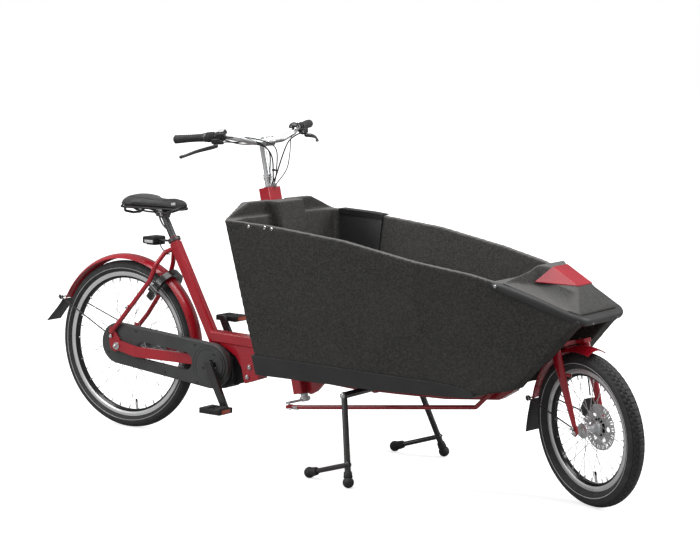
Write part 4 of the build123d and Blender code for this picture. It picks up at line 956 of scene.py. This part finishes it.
def grip(side):
    """Ergonomic grip: waisted barrel, flat palm wing, rib bands and end cap."""
    start = 0.12 if side < 0 else -0.02
    piece = Piece(SOFT, BLACK_PLASTIC, DARK_ALUMINIUM)
    axis = grip_axis(side)
    back = Vector((-0.7071, -side * 0.7071, 0))
    rows, count, ring = [], 56, 36
    for i in range(count):
        share = i / (count - 1)
        place = grip_point(start + (1.04 - start) * share, side)
        wing = max(0.0, (share - 0.22) / 0.78) ** 1.4 * (1 - 0.25 * max(0.0, (share - 0.9) / 0.1))
        barrel = 0.0158 - 0.0016 * math.sin(math.pi * min(1, share * 1.2)) + (0.0012 if share < 0.05 else 0)
        end = 0.72 if i in (0, count - 1) else 1.0
        row = []
        for j in range(ring):
            t = 2 * math.pi * j / ring
            groove = 0.0005 * (1 if (i // 2) % 2 else -1) * (0.25 < share < 0.85) * (math.sin(t) > -0.2)
            r = (barrel + groove) * end
            reach = max(0.0, math.cos(t)) ** 2 * 0.020 * wing
            flat = 1 - 0.30 * wing * max(0.0, math.cos(t)) ** 2
            row.append(place + back * (math.cos(t) * r + reach) + UP * math.sin(t) * r * flat)
        rows.append(row)
    piece.grid(rows, 0, caps=True)
    tip = grip_point(1.04, side)
    end_cap = [(0, -0.002), (0.0100, -0.002), (0.0118, 0.0), (0.0105, 0.0022), (0, 0.0028)]
    piece.lathe(end_cap, tip, axis, 28, 1)
    ring_at = grip_point(start + 0.01, side)
    piece.lathe(puck(0.0172, 0.004, 0.0007, 0.001, bore=0.0125), ring_at, axis, 36, 2)
    return piece


def grips():
    for side, name in SIDES:
        grip(side).done(f"{name}_grip", "steering", BAR_TURN, ["grips"], "rubber")


def lever_clamp(side):
    """Lever perch: clamp band, housing for the pivot, cable adjuster."""
    piece = Piece(BLACK_PLASTIC, CHROME, GLOSS_BLACK, CLEAR_LENS)
    axis = grip_axis(side)
    centre = grip_point(-0.235, side)
    piece.lathe(puck(0.0165, 0.0085, 0.001, bore=0.0112), centre, axis, 40, 0)
    turn = Matrix.Rotation(side * math.radians(135), 3, "Z")
    piece.block(grip_point(-0.23, side, -14, 19), (0.033, 0.030, 0.019), 0, turn, 0.005, 3)
    piece.block(grip_point(-0.30, side, -18, 24), (0.040, 0.020, 0.016), 0, turn, 0.006, 3)
    piece.bolt(grip_point(-0.235, side, 16, 2), (0, 0, 1), 0.0032, 1)
    barrel = grip_point(-0.42, side, -18, 26)
    piece.spindle(grip_point(-0.36, side, -18, 25), barrel, 0.0055, 0, 18, 0.001)
    piece.spindle(barrel, grip_point(-0.50, side, -18, 26), 0.0038, 1, 14, 0.0006)
    return piece


def controls():
    for side, name in SIDES:
        piece = lever_clamp(side)
        if side < 0:
            shell = grip_point(-0.36, side, 4, 6)
            turn = Matrix.Rotation(-math.radians(135), 3, "Z") @ Matrix.Rotation(math.radians(-12), 3, "X")
            piece.block(shell, (0.034, 0.046, 0.032), 0, turn, 0.009, 4)
            piece.block(grip_point(-0.36, side, 19, 8), (0.026, 0.036, 0.006), 2, turn, 0.002)
            piece.block(grip_point(-0.36, side, 22, 9), (0.020, 0.026, 0.0022), 3, turn, 0.0008)
            piece.bolt(grip_point(-0.30, side, 12, 22), (0.5, -0.5, 0.6), 0.0045, 1, 0.004)
        piece.done(f"{name}_lever_perch", "steering", BAR_TURN, ["lever_clamps"], "black_plastic")


def brake_lever(name, side):
    """Forged lever blade with a hooked ball end, on its pivot screw."""
    piece = Piece(BLACK_COAT, CHROME)
    path = [(-0.23, -31, 30), (-0.10, -34, 44), (0.30, -44, 46), (0.62, -56, 42), (0.80, -62, 36)]
    points = [grip_point(share, side, lift, ahead) for share, lift, ahead in path]
    line, sizes = smooth_line(points, [0.0062, 0.0060, 0.0052, 0.0046, 0.0050], 8, False)
    rows = []
    for i, point in enumerate(line):
        ahead = line[min(i + 1, len(line) - 1)] - line[max(i - 1, 0)]
        axis = ahead.normalized()
        wide = UP.cross(axis).normalized()
        tall = axis.cross(wide)
        rows.append([point + wide * math.cos(t) * sizes[i] * 0.62 + tall * math.sin(t) * sizes[i] * 1.25
                     for t in (2 * math.pi * j / 18 for j in range(18))])
    piece.grid(rows, 0, caps=True)
    ball = [(0.0065 * math.sin(a), -0.0065 * math.cos(a)) for a in [math.pi * k / 10 for k in range(11)]]
    piece.lathe(ball, points[-1], UP, 20, 0)
    hub = points[0]
    screw = [(0, -0.0075), (0.0038, -0.0075), (0.0046, -0.0068), (0.0046, -0.0046), (0, -0.0046)]
    piece.lathe(puck(0.0083, 0.0045, 0.0008), hub, UP, 28, 0)
    piece.lathe(screw, hub, UP, 18, 1)
    piece.lathe([(0, 0), (0.0029, 0), (0.0029, 0.0165), (0, 0.0165)], hub, UP, 18, 1)
    piece.done(f"{name}_blade", name, BAR_TURN, [name], "black_metal")


def twist_shifter():
    """Ribbed rubber sleeve of the gear shifter."""
    piece = Piece(SOFT, BLACK_PLASTIC)
    side = -1
    axis = grip_axis(side)
    start, end = grip_point(-0.15, side), grip_point(0.10, side)
    length = (end - start).length
    ribs, ring = 30, 180
    across = axis.orthogonal().normalized()
    up = axis.cross(across)
    rows = []
    profile = [(0.0, 0.0165, 0), (0.0012, 0.0182, 0.3), (0.003, 0.0186, 1), (length - 0.004, 0.0178, 1),
               (length - 0.0012, 0.0170, 0.3), (length, 0.0155, 0)]
    for along, r, ribbed in profile:
        row = []
        for j in range(ring):
            t = 2 * math.pi * j / ring
            lift = 0.0009 * ribbed * (1 if (j * ribs * 2 // ring) % 2 else -0.4)
            row.append(start + axis * along + (across * math.cos(t) + up * math.sin(t)) * (r + lift))
        rows.append(row)
    bore = 0.0118
    inner = [[start + axis * along + out * bore for out in circle(across, up, ring)]
             for along in (length, 0.0)]
    piece.grid(rows + inner, 0, closed_rows=True)
    piece.done("twist_shifter_ring", "twist_shifter", BAR_TURN, ["twist_shifter"], "rubber", sharp=40)


def bell():
    piece = Piece(GLOSS_BLACK, CHROME)
    centre = P(660, 125, 1194)
    angles = [math.pi / 2 * k / 12 for k in range(13)]
    dome = [(0.020 * math.sin(a), 0.020 * math.cos(a) * 0.95) for a in angles]
    profile = dome + [(0.0194, -0.0008), (0.0182, 0.0004), (0.0, 0.0025)]
    piece.lathe(profile, centre, (0, 0, 1), 48, 0)
    button = [(0, 0.0186), (0.0035, 0.0186), (0.0035, 0.0202), (0.002, 0.0212), (0, 0.0214)]
    piece.lathe(button, centre, UP, 20, 1)
    piece.spindle(centre + Vector((0, 0, -0.014)), centre + Vector((0, 0, 0.001)), 0.0085, 0, 24)
    piece.tube([centre + Vector((0.012, -0.006, -0.006)), centre + Vector((0.024, -0.010, -0.004)),
                centre + Vector((0.031, -0.012, 0.001))], [0.0022, 0.0026, 0.0032], 1, 10)
    piece.done("bell_dome", "steering", BAR_TURN, ["bell"], "gloss_black")


def cables():
    """Brake, gear, light and display cables that arc from the bar down to the head tube."""
    piece = Piece(BLACK_PLASTIC, CHROME)
    runs = [  # (start, waypoints ..., radius): all end just above the head tube
        (grip_point(-0.50, -1, -18, 26), P(668, -128, 1166), P(694, -52, 1160), P(712, -8, 1112),
         P(694, 6, 1030), P(690, 4, 997), 0.0026),
        (grip_point(-0.42, -1, -10, 16), P(662, -110, 1158), P(694, -40, 1148), P(704, -10, 1118),
         P(690, -5, 1045), P(684, -3, 997), 0.0024),
        (grip_point(-0.36, -1, -4, 20), P(672, -120, 1184), P(700, -56, 1172), P(722, 6, 1136),
         P(706, 14, 1050), P(692, 10, 998), 0.0022),
        (grip_point(-0.50, 1, -18, 26), P(684, 118, 1168), P(716, 64, 1150), P(728, 26, 1096),
         P(704, 10, 1026), P(694, -6, 997), 0.0026),
        (grip_point(-0.34, 1, -8, 18), P(668, 122, 1180), P(700, 86, 1160), P(748, 50, 1112),
         P(752, 30, 1056), P(700, 12, 998), 0.0019),
    ]
    for *points, r in runs:
        piece.tube(points, r, 0, 10, 8)
        low, high = points[-1] + Vector((0, 0, -0.012)), points[-1] + Vector((0.0006, 0, 0.004))
        piece.spindle(low, high, r + 0.0012, 1, 12)
    band = [(0.0055, -0.0015), (0.0085, -0.0015), (0.0085, 0.0015), (0.0055, 0.0015)]
    piece.lathe(band, P(702, 6, 1052), (0.2, 0, 1), 20, 0)
    piece.done("bar_cables", "steering", BAR_TURN, ["control_cables"], "black_plastic")


def stem_details():
    piece = Piece(CHROME, ALUMINIUM)
    for s in (-1, 1):
        piece.bolt(P(697, s * 13, 1157), (1, 0, 0), 0.0038, 0)
        piece.bolt(P(688, s * 13, 1172.5), (0.4, 0, 1), 0.0034, 0)
    axis = Vector(JOINTS["steering_turn"]["axis"])
    foot = P(898.9, 0, 0)
    for z, r in ((1.022, 0.0158), (1.030, 0.0150)):
        piece.lathe(puck(r + 0.0008, 0.003, 0.0008, bore=0.0112), foot + axis * (z / axis.z), axis, 40, 1)
    piece.done("stem_bolts", "steering", BAR_TURN)


def fork_details():
    """Caliper hose, leg boss bolt and crown-race ring on the fork."""
    piece = Piece(BLACK_PLASTIC, CHROME, RED)
    hose = [P(1985, 50, 362), P(1966, 60, 404), P(1950, 64, 450), P(1936, 62, 505), P(1925, 56, 552)]
    piece.tube(hose, 0.0026, 0, 10, 8)
    piece.bolt(P(1998, -42, 450), (0.1, 1, 0), 0.004, 1)
    for x, z in ((1988, 339), (1968, 305)):
        piece.bolt(P(x, 68, z), (0, 1, 0), 0.0042, 1)
    axis = Vector(JOINTS["fork_turn"]["axis"])
    weld(piece, P(2031.1, 0, 0) + axis * (0.5445 / axis.z), axis, 0.0150, 24, 0.0017)
    piece.done("fork_fittings", "fork", FORK_TURN)


# --- stand and rod --------------------------------------------------------------------------------
def stand_details():
    """Rubber sleeves above the feet and bolts at the pivot."""
    piece = Piece(SOFT, CHROME)
    top = Vector(JOINTS["stand_fold"]["pos_m"])
    for s in (-1, 1):
        hinge = Vector((top.x, s * 0.233, top.z))
        for x, y in ((1262, 318), (1070, 278)):
            ball = P(x, s * y, 20)
            knee = hinge.lerp(P(1262, s * 318, 20), 0.80)
            start = hinge if x > 1200 else knee
            way = (start - ball).normalized()
            piece.lathe([(0.0100, 0.016), (0.0155, 0.016), (0.0162, 0.018), (0.0142, 0.036), (0.0130, 0.038),
                         (0.0100, 0.038)], ball, way, 32, 0)
        piece.bolt(hinge + Vector((0, s * 0.0125, 0)), (0, s, 0), 0.0060, 1, 0.005)
    piece.done("stand_sleeves", "kickstand")


def rod_details():
    """Red cap and chrome hex fittings on the steering rod's eye."""
    eye = Vector(JOINTS["rod_swing"]["pos_m"])
    axis = Vector(JOINTS["rod_swing"]["axis"])
    piece = Piece(SOFT, CHROME, RED)
    piece.lathe([(0.0120, -0.0065), (0.0145, -0.005), (0.0150, 0.0), (0.0145, 0.005), (0.0120, 0.0065),
                 (0.0108, 0.0045), (0.0108, -0.0045)], eye, axis, 32, 2)
    piece.lathe([(0.0, -0.0095), (0.0055, -0.0095), (0.0055, -0.0125), (0.0, -0.0125)], eye, axis, 6, 1)
    piece.spindle(eye + Vector((0.018, 0, -0.0004)), eye + Vector((0.040, 0, 0.0018)), 0.0098, 1, 6, 0.001)
    piece.done("rod_end_fittings", "steering_rod")


# --- cargo box ------------------------------------------------------------------------------------
def cargo_box():
    tub = copied("cargo_box", "box_tub", 0.005, 7, 0.5)
    tub.data.materials.append(FOAM)
    settle(tub, "frame", ["cargo_box"])
    dress(TRAY, "base_tray", bevel=0.0015)


def nose():
    """Bonnet with a scoop pressed into each flank, its red panel and the thick rounded edge."""
    cap = copied("nose_cap", "nose_bonnet", 0.004, 5)
    a, b, e, f = P(1792, 226, 754), P(2034, 132, 662), P(1983, 51, 743), P(1853, 112, 751)
    for vertex in cap.data.vertices:
        spot = Vector((vertex.co.x, abs(vertex.co.y), vertex.co.z))
        low, high = a.lerp(b, 0.5), f.lerp(e, 0.5)
        along = (spot - a).dot((b - a).normalized()) / (b - a).length
        rise = (spot - low).dot((high - low).normalized()) / (high - low).length
        if vertex.co.z < 0.64 or not 0.02 < along < 0.86 or not 0.0 < rise < 1.0:
            continue
        front = min(1.0, (0.86 - along) / 0.10)
        back = min(1.0, (along - 0.02) / 0.45)
        dent = 0.015 * math.sin(math.pi * rise) ** 0.8 * front ** 0.6 * back
        vertex.co.z -= dent * 0.8
        vertex.co.y -= math.copysign(dent * 0.5, vertex.co.y)
    cap.data.materials.append(CAP_FOAM)
    cap.data.update()
    settle(cap, "frame", ["nose_cap"])
    dress(PANEL_RED, "nose_panel", bevel=0.0008)

    edge = Piece(BUMPER)
    left = [P(1766, 246, 747), P(1786, 241, 742), P(1830, 227, 726), P(1920, 195, 692), P(2006, 164, 656),
            P(2034, 148, 646), P(2047, 118, 641), P(2047, 60, 640)]
    right = [Vector((p.x, -p.y, p.z)) for p in reversed(left)]
    sizes = [0.006, 0.013, 0.0165, 0.0172, 0.0172, 0.0172, 0.0172, 0.0172]
    edge.tube(left + right, sizes + sizes[::-1], 0, 28, 6)
    edge.done("nose_bumper_roll", "frame", None, ["nose_bumper"], "bumper_rubber")


def box_details():
    """Snap rings round the studs."""
    piece = Piece(CHROME)
    ring = [(0.0034, -0.001), (0.0050, -0.001), (0.0054, 0.0004), (0.0046, 0.0014), (0.0034, 0.0014)]
    for x, z, half in ((832, 877, 338.3), (902, 879, 338.4), (931, 876, 338.0), (1783, 745, 257)):
        for s in (-1, 1):
            piece.lathe(ring, P(x, s * (half - 0.5), z), (0, s, 0.2), 24, 0)
    piece.done("stud_rings", "frame")


# --- stage ----------------------------------------------------------------------------------------
ROOM_LIGHT = 0.50            # the studio's own light on the bicycle; the camera sees it as plain white
ROOM_GLOSS = 0.30            # the same light as shiny surfaces reflect it
FLOOR_GLOW = 0.68            # how bright the camera sees the floor under the bicycle; it fades to white
FLOOR_HALF = 40.0
FLOOR_DROP = 0.0012          # the floor lies this far below the tyres


def stage():
    floor = bpy.data.meshes.new("floor")
    corners = [(x * FLOOR_HALF, y * FLOOR_HALF, 0) for x, y in ((-1, -1), (1, -1), (1, 1), (-1, 1))]
    floor.from_pydata(corners, [], [(0, 1, 2, 3)])
    ground = placed("floor", floor)
    ground.location.z = -FLOOR_DROP
    s = Shader("floor_paint")
    seen = s.node("ShaderNodeLightPath").outputs["Is Camera Ray"]
    s.set(color=s.mix(seen, (0.30, 0.30, 0.30), (0.80, 0.80, 0.80)), rough=0.9, specular=0.1)
    s.put(s.bsdf.inputs["Emission Color"], (1.0, 1.0, 1.0))
    far = s.ramp(s.radius_from((0.2, 0, 0)), 1.5, 3.6, FLOOR_GLOW, 1.0)
    s.put(s.bsdf.inputs["Emission Strength"], s.math("MULTIPLY", seen, far))
    floor.materials.append(s.mat)

    world = bpy.data.worlds.new("studio")
    bpy.context.scene.world = world
    world.use_nodes = True
    tree = world.node_tree
    path = tree.nodes.new("ShaderNodeLightPath")
    lit, seen = tree.nodes.new("ShaderNodeMix"), tree.nodes.new("ShaderNodeMix")
    lit.inputs["A"].default_value, lit.inputs["B"].default_value = ROOM_LIGHT, ROOM_GLOSS
    seen.inputs["B"].default_value = 1.0
    tree.links.new(path.outputs["Is Glossy Ray"], lit.inputs["Factor"])
    tree.links.new(path.outputs["Is Camera Ray"], seen.inputs["Factor"])
    tree.links.new(lit.outputs["Result"], seen.inputs["A"])
    background = tree.nodes["Background"]
    background.inputs["Color"].default_value = (1, 1, 1, 1)
    tree.links.new(seen.outputs["Result"], background.inputs["Strength"])

    def softbox(name, place, target, size, power):
        light = bpy.data.lights.new(name, "AREA")
        light.shape = "RECTANGLE"
        light.size, light.size_y = size
        light.energy = power
        lamp = placed(name, light)
        lamp.location = place
        lamp.rotation_euler = (Vector(target) - Vector(place)).to_track_quat("-Z", "Y").to_euler()

    softbox("top", (0.2, -0.3, 3.6), (0.1, 0, 0.3), (4.0, 2.4), 95)
    softbox("key", (-2.4, -3.4, 2.6), (0.0, 0, 0.5), (1.4, 2.2), 60)
    softbox("rim_light", (3.6, 1.8, 2.4), (0.4, 0, 0.5), (0.9, 2.4), 60)


CAMERA_PLACE = (3.947, -5.721, 1.579)
CAMERA_TURN = (33.34, 8.0, 1.27)        # azimuth, elevation and roll, in degrees


def camera():
    azimuth, elevation, roll = (math.radians(angle) for angle in CAMERA_TURN)
    back = Vector((math.sin(azimuth) * math.cos(elevation), -math.cos(azimuth) * math.cos(elevation),
                   math.sin(elevation)))
    right = Vector((math.cos(azimuth), math.sin(azimuth), 0))
    up = back.cross(right)
    right, up = right * math.cos(roll) + up * math.sin(roll), up * math.cos(roll) - right * math.sin(roll)
    data = bpy.data.cameras.new("camera")
    data.lens, data.sensor_width = 99.15, 36.0
    data.shift_x, data.shift_y = -0.0271, 0.0343
    data.clip_end = 100.0
    view = placed("camera", data)
    basis = Matrix((right, up, back)).transposed().to_4x4()
    view.matrix_world = Matrix.Translation(CAMERA_PLACE) @ basis
    bpy.context.scene.camera = view


wheels()
frame_parts()
frame_details()
lock_details()
light_details()
case_details()
motor_details()
crank_details()
pedal("pedal_right", "pedal_right_spin")
pedal("pedal_left", "pedal_left_spin")
saddle()
seat_details()
grips()
controls()
brake_lever("brake_lever_right", -1)
brake_lever("brake_lever_left", 1)
twist_shifter()
bell()
cables()
stem_details()
fork_details()
stand_details()
rod_details()
cargo_box()
nose()
box_details()
stage()
camera()
bpy.context.scene.view_settings.view_transform = "Standard"
